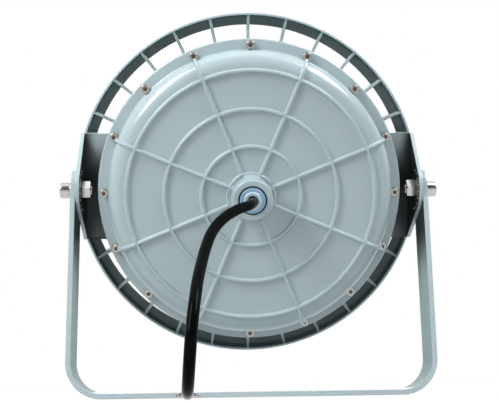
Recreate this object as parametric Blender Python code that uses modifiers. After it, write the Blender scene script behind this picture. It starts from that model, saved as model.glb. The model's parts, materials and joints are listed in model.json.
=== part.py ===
"""Round explosion-proof LED floodlight, hung by two pivot bolts in a bent flat-bar yoke.

World frame: +Z is up, the yoke stands on Z = 0 with one arm on each side of X = 0,
and the light shines towards +Y. The lamp has a frame of its own, the head frame: its
X axis is the tilt axis and its +Z runs out of the lamp's back, along the cable hub.
One empty on the tilt axis places that frame in the world. All sizes are in metres.
"""
import math

import bmesh
import bpy
from mathutils import Matrix, Vector

# Fits and facets
GAP = 0.0003                # clearance between pieces that touch
OVERLAP = 0.002             # how deep joined shapes reach into each other
HAIR = 0.0001               # keeps faces of joined shapes out of one plane
TURN_STEPS = 32             # facets round the large turned pieces
SMALL_STEPS = 16            # facets round hubs, nuts and washers
SCREW_STEPS = 8             # facets round the small screws and their holes
SHOULDER_STEPS = 4          # facets over the dome's shoulder
RIB_STEPS = 3               # facets along a radial rib's bent end
WEB_STEPS = 4               # facets down a web's curved edge
NOSE_STEPS = 8              # facets round an ear's nose
BEND_STEPS = 6              # facets round each of the yoke's bends
ARM_STEPS = 12              # facets round the end of a yoke arm
PATH_STEPS = 24             # points to each span of the smooth cable path
CABLE_BEVEL_STEPS = 2       # bevel resolution of the cable and of its cores
CORE_BEVEL_STEPS = 1

# Pose at rest
TILT = math.radians(21.0)   # the light shines this far above the horizon

# Housing drum
DRUM_RADIUS = 0.149
DRUM_DEPTH = 0.0604         # rear joint face to front joint face
JOINT_FACE = 0.0044         # rear joint face, measured back from the tilt axis
AXIS_DROP = 0.001           # the lamp's own axis passes this far below the tilt axis
REAR_WALL = 0.010
FRONT_WALL = 0.007
REAR_LIP = 0.0022           # how far the rear flange stands out past the drum
REAR_LIP_DEPTH = 0.0085
MID_WALL = 0.006            # the wall between the supply chamber and the LED chamber
CHAMBER_DEPTH = 0.0204      # rear joint face to the middle wall

# Guard ring and radial webs
AIR_SLOT = 0.0183           # open slot between drum and ring
RING_BAND = 0.0112          # width of the ring's front flange
RING_LIP = 0.0023           # thickness of the ring's outer lip
RING_FLANGE = 0.003
RING_HEIGHT = 0.017
RING_SETBACK = 0.0344       # rear joint face to the ring's rear rim
WEB_COUNT = 28              # places round the ring; the ears take three on each side
WEB_THIN = 0.0018           # web thickness at the rear rim
WEB_THICK = 0.0034          # web thickness at the front
WEB_SINK = 0.013            # how far the webs' rear edge falls below the rim

# Ears
EAR_INSET = 0.0063          # the ears cut this much off the ring's radius
EAR_THICK = 0.004
EAR_HALF_HEIGHT = 0.0555
EAR_NOSE = 0.024            # radius of the ear round the pivot bolt
EAR_FLOOR = 0.026           # floor of the ear, measured forward from the tilt axis
EAR_WALL = 0.003

# Rear cover
COVER_OVERHANG = 0.0004     # cover flange past the drum's rear flange
COVER_FLANGE = 0.006
COVER_WALL = 0.006
COVER_SPIGOT = 0.008
DOME_HEIGHT = 0.0283        # cover flange to the flat of the dome
DOME_STEP = 0.0116          # cover flange's edge to the dome's wall
SHOULDER = 0.0155
RIB_HEIGHT = 0.0022
RIB_BASE = 0.0036
RIB_CREST = 0.0018
RIB_ROOT = 0.002            # how deep a radial rib's root reaches into the wall
RIB_END = 12.0              # degrees above the dome's wall where a radial rib's crest ends
RIB_DROP = 0.0217           # flat of the dome to the lower end of a radial rib
RING_RIB_SHARES = (0.3888, 0.6763, 0.9703)  # of the radius of the dome's flat
RADIAL_RIBS = 8
HUB_RADIUS = 0.0200
HUB_HEIGHT = 0.0278         # flat of the dome to the hub's mouth
HUB_FOOT_RADIUS = 0.0238
HUB_FOOT_HEIGHT = 0.0035
HUB_BORE = 0.0136
HUB_BORE_DEPTH = 0.018
CHAMFER = 0.001

# Cover gasket
GASKET_WIDTH = 0.0019
GASKET_THICK = 0.002

# Cover and bezel screws, M5 socket caps
SCREW_RADIUS = 0.0025
SCREW_HEAD_RADIUS = 0.00425
SCREW_HEAD_HEIGHT = 0.005
SCREW_KEY = 0.002           # across-corner radius of the key socket
SCREW_KEY_DEPTH = 0.0025
SCREW_GRIP = 0.009          # thread engaged in the housing
COVER_SCREWS = 16
COVER_SCREW_INSET = 0.0065  # cover flange's edge to the screw circle
BEZEL_SCREWS = 12
BEZEL_SCREW_INSET = 0.0065
BOSS_RADIUS = 0.005

# Cable gland
CABLE_RADIUS = 0.0048
SEAL_THICK = 0.0045
GLAND_WASHER = 0.0012
GLAND_STEP_RADIUS = 0.0117
GLAND_STEP = 0.0015         # how far the gland nut's collar stands out of the hub
GLAND_CAP_RADIUS = 0.0086
GLAND_CAP = 0.004
GLAND_THREAD = 0.008
CABLE_TAIL = 0.012          # cable past the cover's wall inside the chamber

# Front window
BEZEL_DEPTH = 0.0077
BEZEL_LIP = 0.003
BEZEL_BAND = 0.018          # drum's outside to the glass's edge
GLASS_SEAT = 0.011          # how far the bezel's lip covers the glass
GLASS_THICK = 0.005
SPIGOT_WALL = 0.0036
WINDOW_GASKET = 0.001
RETAINER = 0.002
RETAINER_WIDTH = 0.007

# Light source
BOARD_INSET = 0.008         # window's edge to the board's edge
BOARD_THICK = 0.002
LENS_MARGIN = 0.022         # board's edge to the outer ring of lenses
LENS_RINGS = 3
LENSES_A_RING = 6           # in the first ring, and as many more in each further ring
LENS_RADIUS = 0.0085
LENS_TOP = 0.0055
LENS_HEIGHT = 0.0055
LENS_PLATE = 0.0015
REFLECTOR_WALL = 0.0012

# Supply in the rear chamber
DRIVER_SIZE = (0.150, 0.078, 0.034)
DRIVER_PLATE = 0.002
DRIVER_PLATE_WIDTH = 0.052
DRIVER_FOOT = 0.012
DRIVER_PLACE = (0.0, 0.035)
TERMINAL_SIZE = (0.048, 0.022, 0.018)
TERMINAL_PLACE = (0.0, -0.060)
TERMINAL_WAYS = 3
TERMINAL_BASE = 0.0108      # height of the base between the cells
TERMINAL_SLOT = 0.0016      # half the slot between two cells

# Pivot hardware, M10
BOLT_RADIUS = 0.005
BOLT_HEAD_RADIUS = 0.008
BOLT_HEAD_HEIGHT = 0.010
BOLT_KEY = 0.0046
BOLT_KEY_DEPTH = 0.005
BOLT_HOLE = 0.0055
BOLT_END = 0.0015           # thread showing past the nut
WASHER_RADIUS = 0.009
WASHER_THICK = 0.002
NUT_RADIUS = 0.0096         # across corners
NUT_HEIGHT = 0.0084

# Yoke
BAR_WIDTH = 0.040
BAR_THICK = 0.005
YOKE_BEND = 0.030           # inner radius of the two bends
SWING_ROOM = 0.0145         # clear space between the turning lamp and the bar
BASE_HOLE = 0.0055
BASE_HOLE_PITCH = 0.100

# Cable route: it leaves the gland, hangs in a long bend, touches the floor and runs back
# under the lamp. Each point is its place along X, how far it lies behind the gland's
# mouth, and its height as a share of the mouth's height over the cable at rest.
CABLE_ROUTE = (
    (-0.0045, 0.0196, 0.9572),
    (-0.0160, 0.0366, 0.9138),
    (-0.0285, 0.0516, 0.8519),
    (-0.0378, 0.0663, 0.7739),
    (-0.0433, 0.0811, 0.6842),
    (-0.0470, 0.0961, 0.5917),
    (-0.0497, 0.1114, 0.5049),
    (-0.0516, 0.1238, 0.4153),
    (-0.0533, 0.1319, 0.3245),
    (-0.0546, 0.1351, 0.2331),
    (-0.0557, 0.1319, 0.1463),
    (-0.0567, 0.1222, 0.0752),
    (-0.0576, 0.1081, 0.0254),
    (-0.0583, 0.0906, 0.0035),
    (-0.0589, 0.0706, 0.0),
    (-0.0597, 0.0476, 0.0),
    (-0.0605, 0.0226, 0.0),
    (-0.0612, -0.0034, 0.0),
)
CABLE_POINT_PITCH = 0.020
CABLE_STRAIGHT = 0.005      # straight stretch out of the gland
CORE_RADIUS = 0.0014
CORE_LENGTH = 0.040
CORE_SPREAD = 0.007
CORE_POINTS = 6

# Places in the head frame that follow from the sizes above
COVER_UNDER = JOINT_FACE + GAP
COVER_TOP = COVER_UNDER + COVER_FLANGE
FACE = COVER_TOP + DOME_HEIGHT
FACE_INSIDE = FACE - COVER_WALL
HUB_MOUTH = FACE + HUB_HEIGHT
BORE_FLOOR = HUB_MOUTH - HUB_BORE_DEPTH
COVER_RADIUS = DRUM_RADIUS + REAR_LIP + COVER_OVERHANG
COVER_SCREW_CIRCLE = COVER_RADIUS - COVER_SCREW_INSET
DOME_RADIUS = COVER_RADIUS - DOME_STEP
FLAT_RADIUS = DOME_RADIUS - SHOULDER
CHAMBER_RADIUS = DRUM_RADIUS - REAR_WALL
SPIGOT_RADIUS = CHAMBER_RADIUS - GAP
MID_REAR = JOINT_FACE - CHAMBER_DEPTH
MID_FRONT = MID_REAR - MID_WALL
FRONT_FACE = JOINT_FACE - DRUM_DEPTH
LED_CHAMBER_RADIUS = DRUM_RADIUS - FRONT_WALL
BEZEL_SCREW_CIRCLE = DRUM_RADIUS - BEZEL_SCREW_INSET
BEZEL_REAR = FRONT_FACE - GAP
BEZEL_FRONT = BEZEL_REAR - BEZEL_DEPTH
LIP_REAR = BEZEL_FRONT + BEZEL_LIP
GLASS_FRONT = LIP_REAR + 2 * GAP + WINDOW_GASKET
GLASS_REAR = GLASS_FRONT + GLASS_THICK
RETAINER_REAR = GLASS_REAR + GAP + RETAINER
GLASS_RADIUS = DRUM_RADIUS - BEZEL_BAND
SEAT_RADIUS = GLASS_RADIUS + GAP
WINDOW_RADIUS = GLASS_RADIUS - GLASS_SEAT
BOARD_RADIUS = WINDOW_RADIUS - BOARD_INSET
BOARD_REAR = MID_FRONT - GAP
BOARD_FRONT = BOARD_REAR - BOARD_THICK
RING_INNER = DRUM_RADIUS + AIR_SLOT
RING_RADIUS = RING_INNER + RING_BAND
RING_RIM = JOINT_FACE - RING_SETBACK
RING_FRONT = RING_RIM - RING_HEIGHT
EAR_OUTER = RING_RADIUS - EAR_INSET
EAR_INNER = EAR_OUTER - EAR_THICK
PASSAGE = CABLE_RADIUS + GAP
CABLE_REST = CABLE_RADIUS + GAP
GLAND_MOUTH = HUB_MOUTH + GLAND_STEP + GLAND_CAP

# Places in the world that follow from them
YOKE_INNER = EAR_OUTER + GAP
YOKE_OUTER = YOKE_INNER + BAR_THICK
SWING_RADIUS = math.hypot(RING_RADIUS + AXIS_DROP, RING_FRONT)
PIVOT_HEIGHT = BAR_THICK + SWING_ROOM + SWING_RADIUS


# Scene set-up and helpers

for old in list(bpy.data.objects):
    bpy.data.objects.remove(old, do_unlink=True)

PARTS = bpy.data.collections.new("led_floodlight")
CUTTERS = bpy.data.collections.new("cutters")
bpy.context.scene.collection.children.link(PARTS)
bpy.context.scene.collection.children.link(CUTTERS)


def material(name, colour, roughness, metallic):
    """A Principled material in one colour."""
    made = bpy.data.materials.new(name)
    made.use_nodes = True
    shader = made.node_tree.nodes["Principled BSDF"]
    shader.inputs["Base Color"].default_value = (*colour, 1.0)
    shader.inputs["Roughness"].default_value = roughness
    shader.inputs["Metallic"].default_value = metallic
    return made


def place(obj, parent=None, finish=None):
    """Puts a finished piece in the parts collection."""
    PARTS.objects.link(obj)
    obj.parent = parent
    if finish:
        obj.data.materials.clear()
        obj.data.materials.append(finish)
    return obj


def helper(obj, parent=None):
    """Puts a cutter or a shape to be joined in the cutters collection."""
    CUTTERS.objects.link(obj)
    obj.parent = parent
    obj.hide_render = True
    obj.display_type = "WIRE"
    return obj


def boolean(target, tool, operation):
    step = target.modifiers.new(tool.name, "BOOLEAN")
    step.operation = operation
    step.object = tool


def cut(target, tool):
    boolean(target, tool, "DIFFERENCE")


def join(target, tool):
    boolean(target, tool, "UNION")


def mesh_object(name, bm):
    """An object from a bmesh, its normals made to point out."""
    bmesh.ops.recalc_face_normals(bm, faces=bm.faces[:])
    mesh = bpy.data.meshes.new(name)
    bm.to_mesh(mesh)
    bm.free()
    return bpy.data.objects.new(name, mesh)


def baked(obj):
    """The mesh of an object with its modifiers applied."""
    graph = bpy.context.evaluated_depsgraph_get()
    return bpy.data.meshes.new_from_object(obj.evaluated_get(graph))


def turned(name, profile, steps=TURN_STEPS, closed=True):
    """A solid turned about Z from (radius, height) points, run down its outer side."""
    mesh = bpy.data.meshes.new(name)
    bm = bmesh.new()
    verts = [bm.verts.new((radius, 0.0, height)) for radius, height in profile]
    for first, second in zip(verts, verts[1:]):
        bm.edges.new((first, second))
    if closed:
        bm.edges.new((verts[-1], verts[0]))
    bm.to_mesh(mesh)
    bm.free()
    obj = bpy.data.objects.new(name, mesh)
    turn = obj.modifiers.new("turn", "SCREW")
    turn.axis = "Z"
    turn.steps = steps
    turn.render_steps = steps
    turn.use_merge_vertices = True
    turn.merge_threshold = 0.00001
    return obj


def ring_profile(inner, outer, low, high):
    """Four corners of a ring's section, in the order that turned() wants."""
    return [(inner, high), (outer, high), (outer, low), (inner, low)]


def arc(centre, radius, start, end, count):
    """Points on an arc, both ends included, angles in degrees."""
    points = []
    for step in range(count + 1):
        angle = math.radians(start + (end - start) * step / count)
        points.append((centre[0] + radius * math.cos(angle), centre[1] + radius * math.sin(angle)))
    return points


def circle(centre, radius, count):
    return arc(centre, radius, 0.0, 360.0, count)[:-1]


def plate(name, loops, thickness):
    """A flat plate from closed outlines in XY, centred on Z = 0; inner loops are holes."""
    curve = bpy.data.curves.new(name, "CURVE")
    curve.dimensions = "2D"
    curve.fill_mode = "BOTH"
    curve.extrude = thickness / 2
    for loop in loops:
        spline = curve.splines.new("POLY")
        spline.points.add(len(loop) - 1)
        spline.use_cyclic_u = True
        for point, (x, y) in zip(spline.points, loop):
            point.co = (x, y, 0.0, 1.0)
    guide = bpy.data.objects.new(name + "_outline", curve)
    bpy.context.scene.collection.objects.link(guide)
    bm = bmesh.new()
    bm.from_mesh(baked(guide))
    bpy.data.objects.remove(guide, do_unlink=True)
    bmesh.ops.remove_doubles(bm, verts=bm.verts[:], dist=0.000001)
    return mesh_object(name, bm)


def box(name, low, high):
    """A box between two corners."""
    bm = bmesh.new()
    bmesh.ops.create_cube(bm, size=1.0)
    size = [b - a for a, b in zip(low, high)]
    middle = [(a + b) / 2 for a, b in zip(low, high)]
    bmesh.ops.scale(bm, vec=size, verts=bm.verts[:])
    bmesh.ops.translate(bm, vec=middle, verts=bm.verts[:])
    return mesh_object(name, bm)


def prism(name, radius, low, high, sides):
    """An upright prism or cylinder about Z."""
    bm = bmesh.new()
    bmesh.ops.create_cone(
        bm, cap_ends=True, segments=sides, radius1=radius, radius2=radius, depth=high - low
    )
    bmesh.ops.translate(bm, vec=(0.0, 0.0, (low + high) / 2), verts=bm.verts[:])
    return mesh_object(name, bm)


def scattered(name, mesh, matrices):
    """One cutter or shape to be joined, with a copy of a mesh at each matrix."""
    bm = bmesh.new()
    for matrix in matrices:
        copy = mesh.copy()
        copy.transform(matrix)
        bm.from_mesh(copy)
        bpy.data.meshes.remove(copy)
    return mesh_object(name, bm)


def repeated(name, mesh, matrices, parent, finish):
    """A piece of its own at each matrix, numbered from 1, all on one mesh."""
    mesh.materials.clear()
    mesh.materials.append(finish)
    for number, matrix in enumerate(matrices, 1):
        piece = place(bpy.data.objects.new(f"{name}_{number:02d}", mesh), parent)
        piece.matrix_basis = matrix


def around(radius, count, start=0.0, skip=()):
    """Matrices on a circle about Z: X points outwards, the first at start degrees."""
    spots = []
    for index in range(count):
        if index not in skip:
            turn = Matrix.Rotation(math.radians(start) + 2 * math.pi * index / count, 4, "Z")
            spots.append(turn @ Matrix.Translation((radius, 0.0, 0.0)))
    return spots


def smooth(obj, angle=35.0):
    """Smooth shading with sharp edges kept, for round pieces."""
    obj.data.shade_smooth()
    obj.data.set_sharp_from_angle(angle=math.radians(angle))
    return obj


# Maps a plate's X, Y and Z to the head frame's Y, Z and X, and to X, Z and -Y
TO_YZ = Matrix(((0, 0, 1, 0), (1, 0, 0, 0), (0, 1, 0, 0), (0, 0, 0, 1)))
TO_XZ = Matrix(((1, 0, 0, 0), (0, 0, -1, 0), (0, 1, 0, 0), (0, 0, 0, 1)))

# Finishes
GREY_PAINT = material("grey_paint", (0.40, 0.50, 0.53), 0.35, 0.0)
COVER_PAINT = material("cover_paint", (0.40, 0.50, 0.53), 0.32, 0.0)
YOKE_PAINT = material("yoke_paint", (0.42, 0.52, 0.55), 0.35, 0.0)
BEZEL_PAINT = material("bezel_paint", (0.38, 0.48, 0.51), 0.35, 0.0)
STAINLESS = material("stainless", (0.72, 0.71, 0.68), 0.25, 1.0)
BOLT_STEEL = material("bolt_steel", (0.74, 0.73, 0.70), 0.22, 1.0)
NUT_STEEL = material("nut_steel", (0.74, 0.74, 0.72), 0.22, 1.0)
WASHER_STEEL = material("washer_steel", (0.66, 0.66, 0.64), 0.35, 1.0)
ZINC_BLUE = material("zinc_blue", (0.42, 0.60, 0.74), 0.30, 0.6)
BLACK_RUBBER = material("black_rubber", (0.012, 0.013, 0.014), 0.45, 0.0)
SEAL_RUBBER = material("seal_rubber", (0.03, 0.03, 0.03), 0.8, 0.0)
SILICONE = material("silicone", (0.75, 0.75, 0.72), 0.7, 0.0)
GLASS = material("glass", (0.90, 0.95, 0.95), 0.03, 0.0)
BOARD_WHITE = material("board_white", (0.85, 0.86, 0.86), 0.4, 0.0)
LENS_CLEAR = material("lens_clear", (0.92, 0.90, 0.72), 0.1, 0.0)
POLISHED = material("polished_aluminium", (0.85, 0.86, 0.87), 0.12, 1.0)
DRIVER_CASE = material("driver_case", (0.55, 0.57, 0.58), 0.5, 0.0)
TERMINAL_PLASTIC = material("terminal_plastic", (0.80, 0.79, 0.74), 0.5, 0.0)
CORE_LIVE = material("core_live", (0.16, 0.07, 0.03), 0.5, 0.0)
CORE_NEUTRAL = material("core_neutral", (0.03, 0.12, 0.45), 0.5, 0.0)
CORE_EARTH = material("core_earth", (0.20, 0.42, 0.06), 0.5, 0.0)

# The head frame and the lamp's own axis in it
HEAD = bpy.data.objects.new("head_tilt_axis", None)
HEAD.location = (0.0, 0.0, PIVOT_HEIGHT)
HEAD.rotation_euler = (math.pi / 2 + TILT, 0.0, 0.0)
PARTS.objects.link(HEAD)
LAMP = bpy.data.objects.new("lamp_axis", None)
LAMP.location = (0.0, -AXIS_DROP, 0.0)
LAMP.parent = HEAD
PARTS.objects.link(LAMP)


# Screws that repeat

def socket_screw(name, radius, length, head_radius, head_height, key, key_depth, steps):
    """A socket cap screw: its head stands on Z = 0, its shank hangs below."""
    body = helper(turned(name + "_blank", [
        (0.0, head_height),
        (head_radius, head_height),
        (head_radius, 0.0),
        (radius, 0.0),
        (radius, -length),
        (0.0, -length),
    ], steps, closed=False))
    socket = helper(prism(name + "_socket", key, head_height - key_depth, head_height + OVERLAP, 6))
    cut(body, socket)
    return body


def small_screw_mesh(name, length):
    return baked(socket_screw(
        name, SCREW_RADIUS, length, SCREW_HEAD_RADIUS, SCREW_HEAD_HEIGHT,
        SCREW_KEY, SCREW_KEY_DEPTH, SCREW_STEPS,
    ))


def screw_holes(name, spots, low, high):
    """Round holes, one clearance wider than the screws, at each matrix."""
    hole = helper(prism(name + "_one", SCREW_RADIUS + GAP, low, high, SCREW_STEPS))
    return helper(scattered(name, hole.data, spots), LAMP)


COVER_SPOTS = around(COVER_SCREW_CIRCLE, COVER_SCREWS, 90.0)
BEZEL_SPOTS = around(BEZEL_SCREW_CIRCLE, BEZEL_SCREWS, 90.0)


# Rear cover

def shoulder_arc(offset, end, count):
    """The dome's rounded shoulder, moved out by offset, from the flat to the wall."""
    centre = (FLAT_RADIUS, FACE - SHOULDER)
    return arc(centre, SHOULDER + offset, 90.0, end, count)


def rib_bump(radius):
    """Section of one ring rib on the flat of the dome."""
    return [
        (radius - RIB_BASE / 2, FACE),
        (radius - RIB_CREST / 2, FACE + RIB_HEIGHT),
        (radius + RIB_CREST / 2, FACE + RIB_HEIGHT),
        (radius + RIB_BASE / 2, FACE),
    ]


def cover_profile():
    foot = FACE + HUB_FOOT_HEIGHT
    inside = DOME_RADIUS - COVER_WALL
    points = [
        (PASSAGE, BORE_FLOOR),
        (HUB_BORE, BORE_FLOOR),
        (HUB_BORE, HUB_MOUTH),
        (HUB_RADIUS - 2 * CHAMFER, HUB_MOUTH),
        (HUB_RADIUS, HUB_MOUTH - 2 * CHAMFER),
        (HUB_RADIUS + CHAMFER, foot),
        (HUB_FOOT_RADIUS - CHAMFER, foot),
        (HUB_FOOT_RADIUS, foot - CHAMFER),
        (HUB_FOOT_RADIUS, FACE),
    ]
    for share in RING_RIB_SHARES:
        points += rib_bump(share * FLAT_RADIUS)
    points += shoulder_arc(0.0, 0.0, SHOULDER_STEPS)
    points += [
        (DOME_RADIUS, COVER_TOP),
        (COVER_RADIUS - CHAMFER, COVER_TOP),
        (COVER_RADIUS, COVER_TOP - CHAMFER),
        (COVER_RADIUS, COVER_UNDER),
        (SPIGOT_RADIUS, COVER_UNDER),
        (SPIGOT_RADIUS, COVER_UNDER - COVER_SPIGOT),
        (inside, COVER_UNDER - COVER_SPIGOT),
        (inside, FACE - SHOULDER),
    ]
    points += arc((inside - SHOULDER + COVER_WALL, FACE - SHOULDER), SHOULDER - COVER_WALL, 30.0, 90.0, 2)
    points.append((PASSAGE, FACE_INSIDE))
    return points


def radial_ribs():
    """Eight straight ribs that run from the hub's foot over the shoulder."""
    crest = [(HUB_RADIUS, FACE + RIB_HEIGHT)] + shoulder_arc(RIB_HEIGHT, RIB_END, RIB_STEPS)
    root = shoulder_arc(-RIB_ROOT, 0.0, RIB_STEPS) + [(DOME_RADIUS - RIB_ROOT, FACE - RIB_DROP)]
    outline = crest + root[::-1] + [(HUB_RADIUS, FACE - RIB_ROOT)]
    rib = helper(plate("radial_rib", [outline], RIB_CREST))
    wide = RIB_BASE / RIB_CREST
    crest_points = {(round(x, 5), round(y, 5)) for x, y in crest}
    for vert in rib.data.vertices:
        if (round(vert.co.x, 5), round(vert.co.y, 5)) not in crest_points:
            vert.co.z *= wide
    stand = Matrix.Rotation(math.pi / 2, 4, "X")
    spots = [spot @ stand for spot in around(0.0, RADIAL_RIBS, 90.0 + 180.0 / RADIAL_RIBS)]
    return helper(scattered("radial_ribs", rib.data, spots), LAMP)


cover = place(turned("rear_cover", cover_profile()), LAMP, COVER_PAINT)
join(cover, radial_ribs())
cut(cover, screw_holes("cover_holes", COVER_SPOTS, COVER_UNDER - OVERLAP, COVER_TOP + OVERLAP))

cover_screw = small_screw_mesh("cover_screw", COVER_FLANGE + SCREW_GRIP)
seat = Matrix.Translation((0.0, 0.0, COVER_TOP + GAP))
repeated("cover_screw", cover_screw, [spot @ seat for spot in COVER_SPOTS], LAMP, STAINLESS)

gasket_inner = SPIGOT_RADIUS + GAP
place(turned("cover_gasket", ring_profile(
    gasket_inner, gasket_inner + GASKET_WIDTH, JOINT_FACE - GASKET_THICK, JOINT_FACE
)), LAMP, SEAL_RUBBER)


# Cable gland, from the bore's floor outwards

seal_top = BORE_FLOOR + GAP + SEAL_THICK
washer_top = seal_top + GAP + GLAND_WASHER
nut_low = washer_top + GAP
in_bore = HUB_BORE - GAP
place(smooth(turned("gland_seal", ring_profile(
    PASSAGE, in_bore, BORE_FLOOR + GAP, seal_top
), SMALL_STEPS)), LAMP, SEAL_RUBBER)
place(smooth(turned("gland_washer", ring_profile(
    PASSAGE, in_bore, seal_top + GAP, washer_top
), SMALL_STEPS)), LAMP, WASHER_STEEL)
collar_top = HUB_MOUTH + GLAND_STEP
place(turned("gland_nut", [
    (PASSAGE, GLAND_MOUTH),
    (GLAND_CAP_RADIUS - CHAMFER, GLAND_MOUTH),
    (GLAND_CAP_RADIUS, GLAND_MOUTH - CHAMFER),
    (GLAND_CAP_RADIUS, collar_top),
    (GLAND_STEP_RADIUS - CHAMFER, collar_top),
    (GLAND_STEP_RADIUS, collar_top - CHAMFER),
    (GLAND_STEP_RADIUS, nut_low + GLAND_THREAD),
    (in_bore, nut_low + GLAND_THREAD),
    (in_bore, nut_low),
    (PASSAGE, nut_low),
], SMALL_STEPS), LAMP, ZINC_BLUE)
place(prism("cable_entry", CABLE_RADIUS, FACE_INSIDE - CABLE_TAIL, GLAND_MOUTH, SMALL_STEPS), LAMP,
      BLACK_RUBBER)


# Housing

def housing_profile():
    """Drum, middle wall and rear flange, from the middle wall's rear face outwards."""
    rebate = gasket_inner + GASKET_WIDTH + GAP
    lip_front = JOINT_FACE - REAR_LIP_DEPTH
    return [
        (0.0, MID_REAR),
        (CHAMBER_RADIUS, MID_REAR),
        (CHAMBER_RADIUS, JOINT_FACE - GASKET_THICK - GAP),
        (rebate, JOINT_FACE - GASKET_THICK - GAP),
        (rebate, JOINT_FACE),
        (DRUM_RADIUS + REAR_LIP, JOINT_FACE),
        (DRUM_RADIUS + REAR_LIP, lip_front),
        (DRUM_RADIUS, lip_front - REAR_LIP),
        (DRUM_RADIUS, FRONT_FACE),
        (LED_CHAMBER_RADIUS, FRONT_FACE),
        (LED_CHAMBER_RADIUS, MID_FRONT),
        (0.0, MID_FRONT),
    ]


def guard_ring():
    """The L-shaped ring, cut flat at both sides where the ears stand."""
    flange_rear = RING_FRONT + RING_FLANGE
    ring = turned("guard_ring", [
        (RING_RADIUS - RING_LIP, RING_RIM),
        (RING_RADIUS, RING_RIM),
        (RING_RADIUS, RING_FRONT),
        (RING_INNER, RING_FRONT),
        (RING_INNER, flange_rear),
        (RING_RADIUS - RING_LIP, flange_rear + RING_FLANGE / 2),
    ])
    helper(ring, LAMP)
    for side in (-1, 1):
        near = side * (EAR_OUTER - GAP)
        far = side * (RING_RADIUS + OVERLAP)
        flat = box("ring_flat", (min(near, far), -RING_RADIUS, RING_FRONT - OVERLAP),
                   (max(near, far), RING_RADIUS, RING_RIM + OVERLAP))
        cut(ring, helper(flat, LAMP))
    return ring


def web_outline():
    """A radial web: its rear edge falls in a curve from the rim, then crosses the slot."""
    rear = RING_RIM - WEB_SINK
    rim = (RING_RADIUS - RING_LIP, RING_RIM - CHAMFER / 2)
    reach = rim[0] - RING_INNER
    fall = rim[1] - rear
    curve = []
    for step in range(WEB_STEPS + 1):
        angle = math.pi / 2 * step / WEB_STEPS
        curve.append((RING_INNER + reach * math.cos(angle), rim[1] - fall * math.sin(angle)))
    root = DRUM_RADIUS - OVERLAP
    tip = RING_RADIUS - RING_LIP / 2
    return [
        (root, FRONT_FACE + CHAMFER),
        (RING_INNER, FRONT_FACE + CHAMFER + RING_FLANGE),
        (tip, RING_FRONT + CHAMFER),
        (tip, rim[1]),
    ] + curve + [(root, rear)]


def radial_webs():
    """All webs that the ears leave room for, each drafted thicker towards the front."""
    web = helper(plate("radial_web", [web_outline()], WEB_THIN))
    for vert in web.data.vertices:
        share = (RING_RIM - vert.co.y) / (RING_RIM - FRONT_FACE)
        vert.co.z *= 1.0 + (WEB_THICK / WEB_THIN - 1.0) * share
    stand = Matrix.Rotation(math.pi / 2, 4, "X")
    hidden = []
    for index in range(WEB_COUNT):
        angle = math.radians(90.0) + 2 * math.pi * index / WEB_COUNT
        if abs(DRUM_RADIUS * math.sin(angle)) < EAR_HALF_HEIGHT:
            hidden.append(index)
    spots = [spot @ stand for spot in around(0.0, WEB_COUNT, 90.0, hidden)]
    return helper(scattered("radial_webs", web.data, spots), LAMP)


def ear_outline():
    """Side view of an ear: a straight base and a round nose about the pivot bolt."""
    corner = Vector((EAR_HALF_HEIGHT, -EAR_FLOOR))
    touch = math.degrees(math.atan2(corner.y, corner.x) + math.acos(EAR_NOSE / corner.length))
    base = RING_FRONT + CHAMFER
    nose = arc((0.0, 0.0), EAR_NOSE, touch, 180.0 - touch, NOSE_STEPS)
    return [(-EAR_HALF_HEIGHT, base), (EAR_HALF_HEIGHT, base), tuple(corner)] + nose + [
        (-EAR_HALF_HEIGHT, -EAR_FLOOR)
    ]


def ear(side):
    """One ear with its floor and end walls, reaching into the drum's wall."""
    name = "ear_right" if side > 0 else "ear_left"
    bolt_hole = circle((0.0, 0.0), BOLT_HOLE, SMALL_STEPS)
    body = helper(plate(name, [ear_outline(), bolt_hole], EAR_THICK), HEAD)
    middle = side * (EAR_OUTER + EAR_INNER) / 2
    body.data.transform(Matrix.Translation((middle, 0.0, 0.0)) @ TO_YZ)
    base = RING_FRONT + CHAMFER

    def across(suffix, inner, outer, half_height, low, high):
        ends = sorted((side * inner, side * outer))
        return helper(box(name + suffix, (ends[0], -half_height, low),
                          (ends[1], half_height, high)), HEAD)

    inner = math.sqrt(DRUM_RADIUS ** 2 - EAR_HALF_HEIGHT ** 2) - REAR_WALL
    join(body, across("_floor", inner, EAR_INNER + EAR_THICK / 2, EAR_HALF_HEIGHT - HAIR,
                      base + HAIR, -EAR_FLOOR - HAIR))
    cut(body, across("_pocket", inner - OVERLAP, EAR_INNER - EAR_WALL / 2, EAR_HALF_HEIGHT - EAR_WALL,
                     base - OVERLAP, -EAR_FLOOR - EAR_WALL))
    core = prism(name + "_core", DRUM_RADIUS - OVERLAP, RING_FRONT - DRUM_RADIUS, DRUM_RADIUS, TURN_STEPS)
    cut(body, helper(core, LAMP))
    return body


def bosses():
    """Round bosses for the bezel screws, against the LED chamber's wall."""
    boss = helper(prism("boss", BOSS_RADIUS, FRONT_FACE + HAIR, MID_FRONT + OVERLAP, SCREW_STEPS))
    return helper(scattered("bosses", boss.data, BEZEL_SPOTS), LAMP)


housing = place(turned("lamp_housing", housing_profile(), closed=False), LAMP, GREY_PAINT)
join(housing, guard_ring())
join(housing, radial_webs())
join(housing, ear(-1))
join(housing, ear(1))
join(housing, bosses())
cut(housing, screw_holes("rear_thread_holes", COVER_SPOTS, JOINT_FACE - SCREW_GRIP - OVERLAP,
                         JOINT_FACE + OVERLAP))
cut(housing, screw_holes("front_thread_holes", BEZEL_SPOTS, FRONT_FACE - OVERLAP,
                         FRONT_FACE + SCREW_GRIP + OVERLAP))


# Front window

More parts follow.
